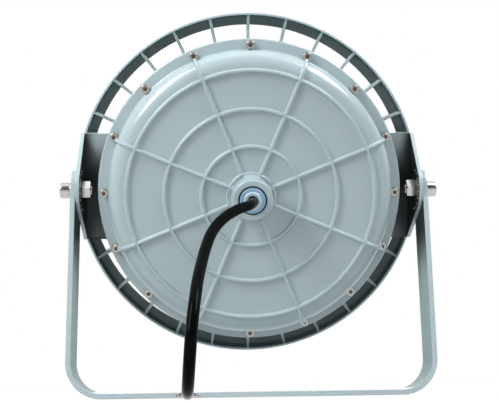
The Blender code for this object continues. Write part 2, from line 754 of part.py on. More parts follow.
bezel = place(turned("front_bezel", [
    (SEAT_RADIUS, RETAINER_REAR),
    (SEAT_RADIUS + SPIGOT_WALL, RETAINER_REAR),
    (SEAT_RADIUS + SPIGOT_WALL, BEZEL_REAR),
    (DRUM_RADIUS, BEZEL_REAR),
    (DRUM_RADIUS, BEZEL_FRONT + 2 * CHAMFER),
    (DRUM_RADIUS - 2 * CHAMFER, BEZEL_FRONT),
    (WINDOW_RADIUS + CHAMFER, BEZEL_FRONT),
    (WINDOW_RADIUS, BEZEL_FRONT + CHAMFER),
    (WINDOW_RADIUS, LIP_REAR),
    (SEAT_RADIUS, LIP_REAR),
]), LAMP, BEZEL_PAINT)
cut(bezel, screw_holes("bezel_holes", BEZEL_SPOTS, BEZEL_FRONT - OVERLAP, BEZEL_REAR + OVERLAP))

bezel_screw = small_screw_mesh("bezel_screw", BEZEL_DEPTH + SCREW_GRIP)
face_front = Matrix.Translation((0.0, 0.0, BEZEL_FRONT - GAP)) @ Matrix.Rotation(math.pi, 4, "X")
repeated("bezel_screw", bezel_screw, [spot @ face_front for spot in BEZEL_SPOTS], LAMP, STAINLESS)

place(turned("glass_gasket", ring_profile(
    WINDOW_RADIUS, GLASS_RADIUS, LIP_REAR + GAP, LIP_REAR + GAP + WINDOW_GASKET
)), LAMP, SILICONE)
place(smooth(turned("front_glass", [
    (0.0, GLASS_REAR), (GLASS_RADIUS, GLASS_REAR), (GLASS_RADIUS, GLASS_FRONT), (0.0, GLASS_FRONT)
], closed=False)), LAMP, GLASS)
place(turned("glass_retainer", ring_profile(
    GLASS_RADIUS - RETAINER_WIDTH, GLASS_RADIUS, GLASS_REAR + GAP, RETAINER_REAR
)), LAMP, WASHER_STEEL)


# Light source

place(turned("led_board", [
    (0.0, BOARD_REAR), (BOARD_RADIUS, BOARD_REAR), (BOARD_RADIUS, BOARD_FRONT), (0.0, BOARD_FRONT)
], closed=False), LAMP, BOARD_WHITE)

PLATE_REAR = BOARD_FRONT - GAP
PLATE_FRONT = PLATE_REAR - LENS_PLATE
lens_plate = place(turned("lens_plate", [
    (0.0, PLATE_REAR), (BOARD_RADIUS, PLATE_REAR), (BOARD_RADIUS, PLATE_FRONT), (0.0, PLATE_FRONT)
], closed=False), LAMP, LENS_CLEAR)
lens = bmesh.new()
bmesh.ops.create_cone(lens, cap_ends=True, segments=SCREW_STEPS, radius1=LENS_TOP,
                      radius2=LENS_RADIUS, depth=LENS_HEIGHT)
lens_middle = PLATE_FRONT + LENS_PLATE / 2 - LENS_HEIGHT / 2
bmesh.ops.translate(lens, vec=(0.0, 0.0, lens_middle), verts=lens.verts[:])
lens = helper(mesh_object("lens", lens))
lens_pitch = (BOARD_RADIUS - LENS_MARGIN) / LENS_RINGS
lens_spots = []
for ring in range(1, LENS_RINGS + 1):
    lens_spots += around(ring * lens_pitch, ring * LENSES_A_RING, 90.0)
join(lens_plate, helper(scattered("lenses", lens.data, lens_spots), LAMP))

reflector_low = RETAINER_REAR + GAP
place(turned("reflector", [
    (BOARD_RADIUS + GAP, BOARD_REAR),
    (BOARD_RADIUS + GAP + REFLECTOR_WALL, BOARD_REAR),
    (GLASS_RADIUS, reflector_low + REFLECTOR_WALL),
    (GLASS_RADIUS, reflector_low),
    (GLASS_RADIUS - 2 * REFLECTOR_WALL, reflector_low),
]), LAMP, POLISHED)


# Supply in the rear chamber

def driver():
    """A potted supply box on a thin plate with a foot at each end."""
    length, width, height = DRIVER_SIZE
    x, y = DRIVER_PLACE
    low = MID_REAR + GAP
    base = box("led_driver", (x - length / 2 - DRIVER_FOOT, y - DRIVER_PLATE_WIDTH / 2, low),
               (x + length / 2 + DRIVER_FOOT, y + DRIVER_PLATE_WIDTH / 2, low + DRIVER_PLATE))
    body = helper(box("driver_box", (x - length / 2, y - width / 2, low + DRIVER_PLATE / 2),
                      (x + length / 2, y + width / 2, low + DRIVER_PLATE + height)), LAMP)
    join(base, body)
    return base


def driver_spots():
    """Matrices of the two screws in the driver's feet."""
    spots = []
    for side in (-1, 1):
        x = DRIVER_PLACE[0] + side * (DRIVER_SIZE[0] + DRIVER_FOOT) / 2
        spots.append(Matrix.Translation((x, DRIVER_PLACE[1], 0.0)))
    return spots


driver_screw_length = DRIVER_PLATE + MID_WALL / 2
supply = place(driver(), LAMP, DRIVER_CASE)
driver_holes = screw_holes("driver_holes", driver_spots(), MID_REAR - MID_WALL / 2 - GAP,
                           MID_REAR + DRIVER_PLATE + OVERLAP)
cut(supply, driver_holes)
cut(housing, driver_holes)
driver_screw = helper(turned("driver_screw", [
    (0.0, SCREW_RADIUS),
    (SCREW_HEAD_RADIUS, SCREW_RADIUS),
    (SCREW_HEAD_RADIUS, 0.0),
    (SCREW_RADIUS, 0.0),
    (SCREW_RADIUS, -driver_screw_length),
    (0.0, -driver_screw_length),
], SCREW_STEPS, closed=False))
on_plate = Matrix.Translation((0.0, 0.0, MID_REAR + DRIVER_PLATE + 2 * GAP))
repeated("driver_screw", baked(driver_screw), [spot @ on_plate for spot in driver_spots()], LAMP,
         WASHER_STEEL)


def terminal_outline():
    """End view of the terminal block: a base with one raised cell for each way."""
    length, _, height = TERMINAL_SIZE
    cell = length / TERMINAL_WAYS
    points = [(-length / 2, 0.0), (length / 2, 0.0), (length / 2, TERMINAL_BASE)]
    for way in reversed(range(TERMINAL_WAYS)):
        left = -length / 2 + way * cell + TERMINAL_SLOT
        right = left + cell - 2 * TERMINAL_SLOT
        points += [(right, TERMINAL_BASE), (right, height), (left, height), (left, TERMINAL_BASE)]
    return points + [(-length / 2, TERMINAL_BASE)]


terminal = plate("terminal_block", [terminal_outline()], TERMINAL_SIZE[1])
terminal.data.transform(
    Matrix.Translation((TERMINAL_PLACE[0], TERMINAL_PLACE[1], MID_REAR + GAP)) @ TO_XZ
)
place(terminal, LAMP, TERMINAL_PLASTIC)


# Yoke: a bent bar, trimmed by its side view, with pivot and base holes

def yoke_outline():
    """Front view of the bar: the outer line up one side, the inner line back down."""
    outer_bend = YOKE_BEND + BAR_THICK
    top = PIVOT_HEIGHT + BAR_WIDTH
    outer = [(YOKE_OUTER, top)]
    outer += arc((YOKE_OUTER - outer_bend, outer_bend), outer_bend, 0.0, -90.0, BEND_STEPS)
    inner = arc((YOKE_INNER - YOKE_BEND, outer_bend), YOKE_BEND, -90.0, 0.0, BEND_STEPS)
    inner.append((YOKE_INNER, top))
    left_outer = [(-x, z) for x, z in reversed(outer)]
    left_inner = [(-x, z) for x, z in reversed(inner)]
    return outer + left_outer + left_inner + inner


def yoke_side():
    """Side view of both arms: the bar's width with a round end about the pivot."""
    half = BAR_WIDTH / 2
    end = arc((0.0, PIVOT_HEIGHT), half, 0.0, 180.0, ARM_STEPS)
    return [(-half, -OVERLAP), (half, -OVERLAP)] + end


yoke = plate("yoke", [yoke_outline()], BAR_WIDTH + 2 * OVERLAP)
yoke.data.transform(TO_XZ)
place(yoke, None, YOKE_PAINT)
arm_view = plate("yoke_side_view", [yoke_side(), circle((0.0, PIVOT_HEIGHT), BOLT_HOLE, SMALL_STEPS)],
                 2 * (YOKE_OUTER + OVERLAP))
arm_view.data.transform(TO_YZ)
boolean(yoke, helper(arm_view), "INTERSECT")
for side in (-1, 1):
    base_hole = prism("base_hole", BASE_HOLE, -OVERLAP, BAR_THICK + OVERLAP, SMALL_STEPS)
    base_hole.data.transform(Matrix.Translation((side * BASE_HOLE_PITCH / 2, 0.0, 0.0)))
    cut(yoke, helper(base_hole))


# Pivot hardware, modelled for the right side and turned over for the left

BOLT_SEAT = YOKE_OUTER + 2 * GAP + WASHER_THICK
NUT_FACE = EAR_INNER - GAP
BOLT_TIP = NUT_FACE - NUT_HEIGHT - BOLT_END
pivot_bolt = socket_screw("pivot_bolt", BOLT_RADIUS, BOLT_SEAT - BOLT_TIP, BOLT_HEAD_RADIUS,
                          BOLT_HEAD_HEIGHT, BOLT_KEY, BOLT_KEY_DEPTH, SMALL_STEPS)
pivot_bolt_mesh = baked(pivot_bolt)
washer_mesh = baked(helper(turned("pivot_washer", ring_profile(
    BOLT_RADIUS + GAP, WASHER_RADIUS, 0.0, WASHER_THICK
), SMALL_STEPS)))
nut_mesh = prism("pivot_nut", NUT_RADIUS, 0.0, NUT_HEIGHT, 6)
helper(nut_mesh)
cut(nut_mesh, helper(prism("nut_bore", BOLT_RADIUS + GAP, -OVERLAP, NUT_HEIGHT + OVERLAP, SMALL_STEPS)))
nut_mesh = baked(nut_mesh)
for side, label in ((-1, "left"), (1, "right")):
    outward = Matrix.Translation((0.0, 0.0, PIVOT_HEIGHT)) @ Matrix.Rotation(side * math.pi / 2, 4, "Y")
    for name, mesh, along, finish in (
        ("pivot_bolt_", pivot_bolt_mesh, BOLT_SEAT, BOLT_STEEL),
        ("pivot_washer_", washer_mesh, YOKE_OUTER + GAP, WASHER_STEEL),
        ("pivot_nut_", nut_mesh, NUT_FACE - NUT_HEIGHT, NUT_STEEL),
    ):
        piece = place(bpy.data.objects.new(name + label, mesh), None, finish)
        piece.matrix_basis = outward @ Matrix.Translation((0.0, 0.0, along))


# Cable

def smooth_path(points, count):
    """Points on a centripetal curve through a list of points, count to each span."""
    padded = [2 * points[0] - points[1]] + points + [2 * points[-1] - points[-2]]
    path = []
    for p0, p1, p2, p3 in zip(padded, padded[1:], padded[2:], padded[3:]):
        t1 = (p1 - p0).length ** 0.5
        t2 = t1 + (p2 - p1).length ** 0.5
        t3 = t2 + (p3 - p2).length ** 0.5
        for step in range(count):
            t = t1 + (t2 - t1) * step / count
            a1 = p0.lerp(p1, t / t1)
            a2 = p1.lerp(p2, (t - t1) / (t2 - t1))
            a3 = p2.lerp(p3, (t - t2) / (t3 - t2))
            b1 = a1.lerp(a2, t / t2)
            b2 = a2.lerp(a3, (t - t1) / (t3 - t1))
            path.append(b1.lerp(b2, (t - t1) / (t2 - t1)))
    path.append(points[-1])
    return path


def even_points(path, pitch):
    """The same path with its points a whole number of even steps apart."""
    lengths = [(b - a).length for a, b in zip(path, path[1:])]
    total = sum(lengths)
    count = max(2, round(total / pitch))
    points = [path[0]]
    run = 0.0
    wanted = total / count
    for start, end, length in zip(path, path[1:], lengths):
        while run + length >= wanted * len(points) and len(points) < count:
            points.append(start.lerp(end, (wanted * len(points) - run) / length))
        run += length
    points.append(path[-1])
    return points


def tube(name, path, radius, resolution, finish):
    """A round tube with closed ends along a list of points."""
    curve = bpy.data.curves.new(name, "CURVE")
    curve.dimensions = "3D"
    curve.bevel_depth = radius
    curve.bevel_resolution = resolution
    curve.use_fill_caps = True
    spline = curve.splines.new("POLY")
    spline.points.add(len(path) - 1)
    for point, spot in zip(spline.points, path):
        point.co = (*spot, 1.0)
    return place(bpy.data.objects.new(name, curve), None, finish)


def head_point(height):
    """World place of a point on the lamp's axis, height behind the tilt axis."""
    turn = Matrix.Rotation(math.pi / 2 + TILT, 4, "X")
    return Vector((0.0, 0.0, PIVOT_HEIGHT)) + turn @ Vector((0.0, -AXIS_DROP, height))


mouth = head_point(GLAND_MOUTH + GAP)
cable_points = [head_point(GLAND_MOUTH + GAP + CABLE_STRAIGHT)]
for across, behind, share in CABLE_ROUTE:
    height = CABLE_REST + share * (mouth.z - CABLE_REST)
    cable_points.append(Vector((across, mouth.y - behind, height)))
cable_path = [mouth] + even_points(smooth_path(cable_points, PATH_STEPS), CABLE_POINT_PITCH)
tube("power_cable", cable_path, CABLE_RADIUS, CABLE_BEVEL_STEPS, BLACK_RUBBER)

# Three bare-ended cores fan out of the cable's cut end
end_point = cable_points[-1]
end_way = (cable_points[-1] - cable_points[-2]).normalized()
end_side = end_way.cross(Vector((0.0, 0.0, 1.0))).normalized()
for fan, label, finish in ((-1, "live", CORE_LIVE), (0, "earth", CORE_EARTH), (1, "neutral", CORE_NEUTRAL)):
    core = []
    for step in range(CORE_POINTS):
        share = step / (CORE_POINTS - 1)
        sideways = fan * (2 * CORE_RADIUS + GAP + CORE_SPREAD * share * share)
        ahead = GAP + CORE_LENGTH * share
        drop = Vector((0.0, 0.0, (CABLE_RADIUS - CORE_RADIUS) * share * share))
        core.append(end_point + end_way * ahead + end_side * sideways - drop)
    tube("core_" + label, core, CORE_RADIUS, CORE_BEVEL_STEPS, finish)
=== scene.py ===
"""Looks of the round LED floodlight: fine castings, screws, window, cable and every finish.

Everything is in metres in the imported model's frame. The lamp's own frame has its X axis
along the tilt axis and its +Z out of the lamp's back, along the cable hub.
"""
import json
import math

import bmesh
import bpy
from mathutils import Matrix, Vector


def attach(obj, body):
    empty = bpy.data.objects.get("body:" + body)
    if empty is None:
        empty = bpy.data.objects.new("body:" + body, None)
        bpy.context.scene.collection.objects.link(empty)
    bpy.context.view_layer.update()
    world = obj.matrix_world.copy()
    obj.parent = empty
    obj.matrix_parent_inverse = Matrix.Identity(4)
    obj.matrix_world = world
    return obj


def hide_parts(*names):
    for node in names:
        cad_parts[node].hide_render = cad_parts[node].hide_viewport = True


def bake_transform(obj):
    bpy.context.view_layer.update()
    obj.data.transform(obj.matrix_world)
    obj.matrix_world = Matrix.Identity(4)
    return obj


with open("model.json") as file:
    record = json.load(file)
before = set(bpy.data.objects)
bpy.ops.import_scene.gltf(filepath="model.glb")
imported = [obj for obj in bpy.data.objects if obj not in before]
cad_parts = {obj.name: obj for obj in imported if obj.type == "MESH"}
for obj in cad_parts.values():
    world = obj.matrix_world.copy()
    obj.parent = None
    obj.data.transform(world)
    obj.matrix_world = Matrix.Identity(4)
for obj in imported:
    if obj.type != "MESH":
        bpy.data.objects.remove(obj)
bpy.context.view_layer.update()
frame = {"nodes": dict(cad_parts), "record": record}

# Photograph's camera
IMAGE_WIDTH = 500
FOCAL_PIXELS = 863.3
SENSOR = 36.0
CAMERA_PLACE = (-0.0387, -0.8535, 0.01174)
CAMERA_PITCH = math.radians(11.96)
CAMERA_YAW = math.radians(2.61)
CAMERA_ROLL = math.radians(-0.86)

# The lamp's frame
TILT = math.radians(21.0)
AXIS_DROP = 0.001
PIVOT = Vector(frame["record"]["behaviour"]["joints"][0]["pos_m"])
HEAD = Matrix.Translation(PIVOT) @ Matrix.Rotation(math.pi / 2 + TILT, 4, "X")
LAMP = HEAD @ Matrix.Translation((0.0, -AXIS_DROP, 0.0))
UP = Vector((0.0, 0.0, 1.0))
SIDES = ((-1, "left"), (1, "right"))

# Facets
TURN_STEPS = 192
SMALL_STEPS = 64
SCREW_STEPS = 32
FILLET_STEPS = 4
WEB_STEPS = 8
RIM_STEPS = 12
WALL_ROWS = 4
CORE_STEPS = 16

# Drum and cover, heights measured back from the tilt axis
DRUM_RADIUS = 0.149
JOINT_FACE = 0.0044
FRONT_FACE = -0.056
REAR_LIP = 0.0022
REAR_LIP_DEPTH = 0.0085
CHAMBER_RADIUS = 0.139
LED_CHAMBER_RADIUS = 0.142
MID_REAR = -0.016
MID_FRONT = -0.022
COVER_UNDER = 0.0047
COVER_TOP = 0.0107
COVER_RADIUS = 0.1516
COVER_SPIGOT = 0.008
SPIGOT_RADIUS = 0.1387
COVER_WALL = 0.006
FACE = 0.0390
DOME_RADIUS = 0.1400
SHOULDER = 0.0155
RING_RIBS = (0.0484, 0.0842, 0.1208)
RADIAL_RIBS = 8
RIB_HEIGHT = 0.0028
RIB_BASE = 0.0048
RIB_CREST = 0.0018
RIB_LINES = [k * 0.00035 for k in range(-7, 8)]    # offsets of the fine mesh lines over a rib
COLUMNS_BETWEEN = 9         # mesh columns from one radial rib's lines to the next one's
ROW_PITCH = 0.006
WALL_TOP = FACE - SHOULDER - 0.001
WALL_HEIGHT = 0.0085
RIBS_GONE = COVER_TOP + 0.003       # height by which the radial ribs have sunk into the wall
HUB_RADIUS = 0.0200
HUB_MOUTH = 0.0668
HUB_FOOT_RADIUS = 0.0238
FOOT_TOP = FACE + 0.0035
FOOT_EDGE = HUB_FOOT_RADIUS + 0.002
FOOT_RIM = 0.0022
FOOT_RIM_HEIGHT = 0.0014
FOOT_RIMS = ((38.0, 64.0), (116.0, 146.0), (160.0, 182.0), (-2.0, 20.0))
FOOT_LINES = (67.5, 112.5)
FOOT_LINE = 0.0014
FOOT_LINE_HEIGHT = 0.0008
HUB_BORE = 0.0136
BORE_FLOOR = 0.0488
PASSAGE = 0.0051

# Guard ring, webs and ears
RING_INNER = 0.1673
RING_RADIUS = 0.1785
RING_LIP = 0.0023
RING_FILLET = 0.0007
RING_RIM = -0.030
RING_FRONT = -0.047
RING_FLANGE = 0.003
WEB_COUNT = 28
WEB_SINK = 0.013
WEB_THIN = 0.0014
WEB_THICK = 0.0052
EAR_OUTER = 0.1722
EAR_THICK = 0.004
EAR_INSIDE = EAR_OUTER - EAR_THICK
SETBACK = 0.001             # how far webs and ears stand back from the front faces
EAR_BASE = RING_FRONT + SETBACK
EAR_HALF_HEIGHT = 0.0555
EAR_NOSE = 0.024
EAR_FLOOR = -0.026
EAR_WALL = 0.003
BUMP_COUNT = 9
BUMP_CIRCLE = 0.020
BUMP_RADIUS = 0.0008
EDGE = 0.0006
HAIR = 0.0001               # keeps faces of joined shapes out of one plane
OVERLAP = 0.002             # how deep webs and ears reach into the drum
TO_YZ = Matrix(((0, 0, 1, 0), (1, 0, 0, 0), (0, 1, 0, 0), (0, 0, 0, 1)))    # turns X, Y to Y, Z

# Screws
COVER_SCREW_CIRCLE = 0.1451
COVER_SCREWS = 16
COVER_SCREW_LENGTH = 0.015
BEZEL_SCREW_CIRCLE = 0.1425
BEZEL_SCREWS = 12
BEZEL_SCREW_LENGTH = 0.0167
HEAD_RADIUS = 0.00425
HEAD_HEIGHT = 0.005
SHANK_RADIUS = 0.0025
KEY_RADIUS = 0.0023
KEY_DEPTH = 0.0025
GAP = 0.0003

# Gland
GLAND_COLLAR = 0.0122
GLAND_CAP = 0.0086
COLLAR_TOP = HUB_MOUTH + 0.0015
GLAND_MOUTH = 0.0723
GLAND_FOOT = BORE_FLOOR + 0.0063
GLAND_THREAD = 0.008

# Window and light source
BEZEL_REAR = -0.0563
BEZEL_FRONT = -0.0640
BEZEL_STEP = 0.0036
LIP_REAR = BEZEL_FRONT + 0.003
GASKET_THICK = 0.001
GLASS_FRONT = LIP_REAR + 2 * GAP + GASKET_THICK
GLASS_REAR = GLASS_FRONT + 0.005
RETAINER_REAR = GLASS_REAR + GAP + 0.002
RETAINER_WIDTH = 0.007
REFLECTOR_WALL = 0.0012
WINDOW_RADIUS = 0.120
GLASS_RADIUS = 0.131
BOARD_RADIUS = 0.112
BOARD_THICK = 0.002
PLATE_THICK = 0.0015
LENS_RINGS = ((0.030, 6), (0.060, 12), (0.090, 18))
LENS_RADIUS = 0.0085
LENS_TOP = 0.0055
LENS_HEIGHT = 0.00475
LENS_RIM = 0.0016
CHIP_HALF = 0.00175
CHIP_THICK = 0.00018

# Yoke
YOKE_INNER = 0.1725
BAR_THICK = 0.005
BAR_WIDTH = 0.040
YOKE_BEND = 0.030
BEND_OUTER = YOKE_BEND + BAR_THICK
BEND_MIDDLE = YOKE_BEND + BAR_THICK / 2
BEND_LENGTH = BEND_MIDDLE * math.pi / 2
BAR_FLAT = YOKE_INNER - YOKE_BEND    # half of the base's flat stretch
BOLT_HOLE = 0.0055
BASE_HOLE_PITCH = 0.100
BEND_STATIONS = 24

# Pivot bolts
WASHER_RADIUS = 0.009
WASHER_THICK = 0.002
BOLT_RADIUS = 0.005
BOLT_HEAD = 0.008
BOLT_HEAD_HEIGHT = 0.010
BOLT_KEY = 0.0046
BOLT_KEY_DEPTH = 0.005
NUT_RADIUS = 0.0096
NUT_HEIGHT = 0.0084
BOLT_PROUD = 0.0015

# Cable: out of the gland, down in a long bend, and back under the lamp. Each point is its
# place along X, how far it lies behind the gland's mouth, and its height as a share of
# the mouth's height over the cable at rest.
CABLE_RADIUS = 0.0048
CABLE_REST = CABLE_RADIUS + GAP
CABLE_STRAIGHT = 0.005
CABLE_ROUTE = (
    (-0.0045, 0.0196, 0.9572),
    (-0.0160, 0.0366, 0.9138),
    (-0.0285, 0.0516, 0.8519),
    (-0.0378, 0.0663, 0.7739),
    (-0.0433, 0.0811, 0.6842),
    (-0.0470, 0.0961, 0.5917),
    (-0.0497, 0.1114, 0.5049),
    (-0.0516, 0.1238, 0.4153),
    (-0.0533, 0.1319, 0.3245),
    (-0.0546, 0.1351, 0.2331),
    (-0.0557, 0.1319, 0.1463),
    (-0.0567, 0.1222, 0.0752),
    (-0.0576, 0.1081, 0.0254),
    (-0.0583, 0.0906, 0.0035),
    (-0.0589, 0.0706, 0.0),
    (-0.0597, 0.0476, 0.0),
    (-0.0605, 0.0226, 0.0),
    (-0.0612, -0.0034, 0.0),
)
SPAN_STEPS = 8
CORE_RADIUS = 0.0014
CORE_LENGTH = 0.040
CORE_SPREAD = 0.007
CORE_BARE = 0.009

# Finishes: noise scales on Object coordinates, and how far gloss and brightness swing
DRIFT_SCALE = 14.0
SMUDGE_SCALE = 160.0
COAT_UNEVEN = 0.08
METAL_UNEVEN = 0.2

# Where the painted light and painted shade begin and where they are full, as heights from the pivot
EAR_TOP_PAINTED_LIGHT = (0.022, 0.058)
EAR_FOOT_PAINTED_LIGHT = (-0.012, -0.042)
ARM_PAINTED_SHADE = (-0.095, -0.045)

# Studio: what the lamps point at, and where along Y reflections pass from the dark room to white
LIGHT_AIM = (0.0, 0.0, 0.2)
WORLD_SWEEP = (-0.6, 0.0)
FLOOR_SWEEP = (-0.75, -0.2)
FLOOR_GREY = 0.5
FLOOR_GLOW = 1.04       # a little over 1, so that with its lit share the bare floor reaches white


# Node tree helpers

def node(tree, kind, links=None, **settings):
    """A node with its settings, its inputs given as values or linked from sockets."""
    made = tree.nodes.new(kind)
    for key, value in settings.items():
        setattr(made, key, value)
    for key, value in (links or {}).items():
        if isinstance(value, bpy.types.NodeSocket):
            tree.links.new(value, made.inputs[key])
        else:
            made.inputs[key].default_value = value
    return made


def calc(tree, operation, *values):
    """The result socket of a Math node."""
    return node(tree, "ShaderNodeMath", dict(enumerate(values)), operation=operation).outputs[0]


def ramp(tree, value, first, last, high=1.0, low=0.0):
    """A smooth change from low to high, as the value goes from first to last."""
    return node(tree, "ShaderNodeMapRange", {
        "Value": value, "From Min": first, "From Max": last, "To Min": low, "To Max": high,
    }, interpolation_type="SMOOTHSTEP").outputs[0]


def axes(tree, vector):
    """The X, Y and Z sockets of a vector socket."""
    return node(tree, "ShaderNodeSeparateXYZ", {0: vector}).outputs


def object_place(tree):
    return node(tree, "ShaderNodeTexCoord").outputs["Object"]


def new_tree(name, kind, inputs, outputs):
    """A node group with its sockets, and its input and output nodes."""
    tree = bpy.data.node_groups.new(name, kind)
    for way, sockets in (("INPUT", inputs), ("OUTPUT", outputs)):
        for label, socket in sockets:
            tree.interface.new_socket(label, in_out=way, socket_type="NodeSocket" + socket)
    return tree, tree.nodes.new("NodeGroupInput").outputs, tree.nodes.new("NodeGroupOutput")


def new_material(name):
    """A material with its tree and its Principled BSDF."""
    made = bpy.data.materials.new(name)
    made.use_nodes = True
    return made, made.node_tree, made.node_tree.nodes["Principled BSDF"]


# Shader groups

def noise(tree, place, scale, detail):
    return node(tree, "ShaderNodeTexNoise", {
        "Vector": place, "Scale": scale, "Detail": detail,
    }).outputs[0]


def swing(tree, value, reach):
    """Turns a noise from 0 to 1 into a change to both sides of nought."""
    return calc(tree, "MULTIPLY", calc(tree, "SUBTRACT", value, 0.5), reach)


def surface_group(name, sizes):
    """A group that varies a colour and a gloss by place, with its own named sizes."""
    return new_tree(name, "ShaderNodeTree", [
        ("Place", "Vector"), ("Colour", "Color"), ("Gloss", "Float"), *[(size, "Float") for size in sizes],
    ], [("Colour", "Color"), ("Roughness", "Float"), ("Normal", "Vector")])


def put_out(tree, given, out, brightness, uneven, relief, depth):
    """Puts out the colour at its brightness, the uneven gloss, and the normal of a fine relief."""
    tint = node(tree, "ShaderNodeHueSaturation", {"Color": given["Colour"], "Value": brightness})
    bump = node(tree, "ShaderNodeBump", {"Height": relief, "Distance": depth, "Strength": 1.0})
    tree.links.new(tint.outputs[0], out.inputs["Colour"])
    tree.links.new(calc(tree, "ADD", given["Gloss"], uneven), out.inputs["Roughness"])
    tree.links.new(bump.outputs[0], out.inputs["Normal"])
    return tree


def coat_group():
    """Sprayed coat: slow colour drift, fine orange peel and uneven gloss."""
    tree, given, out = surface_group("sprayed_coat", ("Drift", "Peel Size", "Peel Depth"))
    drift = swing(tree, noise(tree, given["Place"], DRIFT_SCALE, 3.0), given["Drift"])
    peel = noise(tree, given["Place"], calc(tree, "DIVIDE", 1.0, given["Peel Size"]), 2.0)
    return put_out(tree, given, out, calc(tree, "ADD", drift, 1.0), swing(tree, peel, COAT_UNEVEN),
                   peel, given["Peel Depth"])


def metal_group():
    """Worked metal: fine grain drawn out along one axis, and smudged gloss."""
    tree, given, out = surface_group("worked_metal", ("Grain Size", "Grain Depth"))
    drawn = node(tree, "ShaderNodeMapping", {"Vector": given["Place"], "Scale": (0.15, 1.0, 1.0)})
    grain = noise(tree, drawn.outputs[0], calc(tree, "DIVIDE", 1.0, given["Grain Size"]), 3.0)
    smudge = noise(tree, given["Place"], SMUDGE_SCALE, 2.0)
    return put_out(tree, given, out, calc(tree, "MULTIPLY_ADD", smudge, METAL_UNEVEN, 0.9),
                   swing(tree, smudge, METAL_UNEVEN), grain, given["Grain Depth"])


COAT = coat_group()
METAL = metal_group()


def spaced(values):
    """Values by socket name, from values by keyword."""
    return {key.replace("_", " "): value for key, value in values.items()}


def finish(name, group, colour, gloss, sockets, **values):
    """A material: one surface group on Object coordinates feeds a Principled BSDF."""
    made, tree, shader = new_material(name)
    for key, value in spaced(sockets).items():
        shader.inputs[key].default_value = value
    surface = node(tree, "ShaderNodeGroup", {
        "Place": object_place(tree), "Colour": (*colour, 1.0), "Gloss": gloss, **spaced(values),
    }, node_tree=group)
    for given, socket in (("Colour", "Base Color"), ("Roughness", "Roughness"), ("Normal", "Normal")):
        tree.links.new(surface.outputs[given], shader.inputs[socket])
    return made


def coat(name, colour, gloss, drift=0.06, size=0.0011, depth=0.00001, **sockets):
    return finish(name, COAT, colour, gloss, sockets, Drift=drift, Peel_Size=size, Peel_Depth=depth)


def metal(name, colour, gloss, size=0.0004, depth=0.000004, **sockets):
    return finish(name, METAL, colour, gloss, {"Metallic": 1.0, **sockets}, Grain_Size=size,
                  Grain_Depth=depth)


def blended_paint(paint, factor_at, colour):
    """Blends a second colour into a paint, by a factor worked out from the Object coordinates."""
    tree = paint.node_tree
    shader = tree.nodes["Principled BSDF"]
    base = shader.inputs["Base Color"].links[0].from_socket
    factor = factor_at(tree, axes(tree, object_place(tree)))
    mixed = node(tree, "ShaderNodeMix", {"Factor": factor, 6: base, 7: (*colour, 1.0)}, data_type="RGBA")
    tree.links.new(mixed.outputs[2], shader.inputs["Base Color"])


def height_ramp(tree, place, span, high=1.0):
    """A rise between two heights that are given from the pivot."""
    return ramp(tree, place["Z"], PIVOT.z + span[0], PIVOT.z + span[1], high)


def ear_light(tree, place):
    """Painted light on the ears' painted-shade recess: paler next to the drum, most at its top and a little
    at its foot.
    """
    top = height_ramp(tree, place, EAR_TOP_PAINTED_LIGHT)
    foot = height_ramp(tree, place, EAR_FOOT_PAINTED_LIGHT, 0.3)
    near = ramp(tree, calc(tree, "ABSOLUTE", place["X"]), EAR_INSIDE, DRUM_RADIUS + 0.006)
    return calc(tree, "MULTIPLY", calc(tree, "MAXIMUM", top, foot), near)


def arm_shade(tree, place):
    """Painted shade on the arms' inner faces, darkest beside the ears."""
    return height_ramp(tree, place, ARM_PAINTED_SHADE)


def earth_stripe(tree, place):
    """A stripe along the upper side of the core."""
    return calc(tree, "GREATER_THAN", place["Z"], CABLE_RADIUS + CORE_RADIUS / 3)


PAINT = (0.395, 0.500, 0.530)
COATED = {"Coat_Weight": 0.5, "Coat_Roughness": 0.08}
HOUSING_PAINT = coat("housing_paint", PAINT, 0.34, **COATED)
COVER_PAINT = coat("cover_paint", PAINT, 0.32, **COATED)
YOKE_PAINT = coat("yoke_paint", (0.41, 0.51, 0.54), 0.30, **COATED)
BEZEL_PAINT = coat("bezel_paint", (0.385, 0.485, 0.515), 0.34, **COATED)
# Painted light: the webs' paint is paler than the housing's, as if lit
WEB_PAINTED_LIGHT = coat("web_paint", (0.56, 0.65, 0.66), 0.34, **COATED)
# Painted shade: the guard ring's inner band is painted near-black where its recess lies in shade
RING_PAINTED_SHADE = coat("recess_paint", (0.078, 0.110, 0.112), 0.42, drift=0.25)
# Painted shade: the ears' recess is painted near-black, with painted light blended in near the drum
EAR_PAINTED_SHADE_AND_LIGHT = coat("ear_recess_paint", (0.012, 0.020, 0.021), 0.42, drift=0.25)
# Painted shade: the yoke arms' inner faces are painted darker, darkest beside the ears
YOKE_INSIDE_PAINTED_SHADE = coat("yoke_inside_paint", (0.280, 0.375, 0.375), 0.55, drift=0.15,
                   Specular_IOR_Level=0.25)
STAINLESS = metal("stainless", (0.48, 0.46, 0.42), 0.22)
BOLT_STEEL = metal("bolt_steel", (0.56, 0.55, 0.52), 0.22)
NUT_STEEL = metal("nut_steel", (0.56, 0.56, 0.54), 0.20)
WASHER_STEEL = metal("washer_steel", (0.66, 0.66, 0.64), 0.32)
# Painted shade: a darker steel down in the screws' sockets
SOCKET_PAINTED_SHADE = metal("socket_shade", (0.14, 0.13, 0.11), 0.30)
ZINC_BLUE = coat("zinc_blue", (0.25, 0.41, 0.55), 0.24, drift=0.15, size=0.0006, Metallic=0.2)
ZINC_PALE = coat("zinc_pale", (0.48, 0.63, 0.71), 0.26, drift=0.15, size=0.0006, Metallic=0.2)
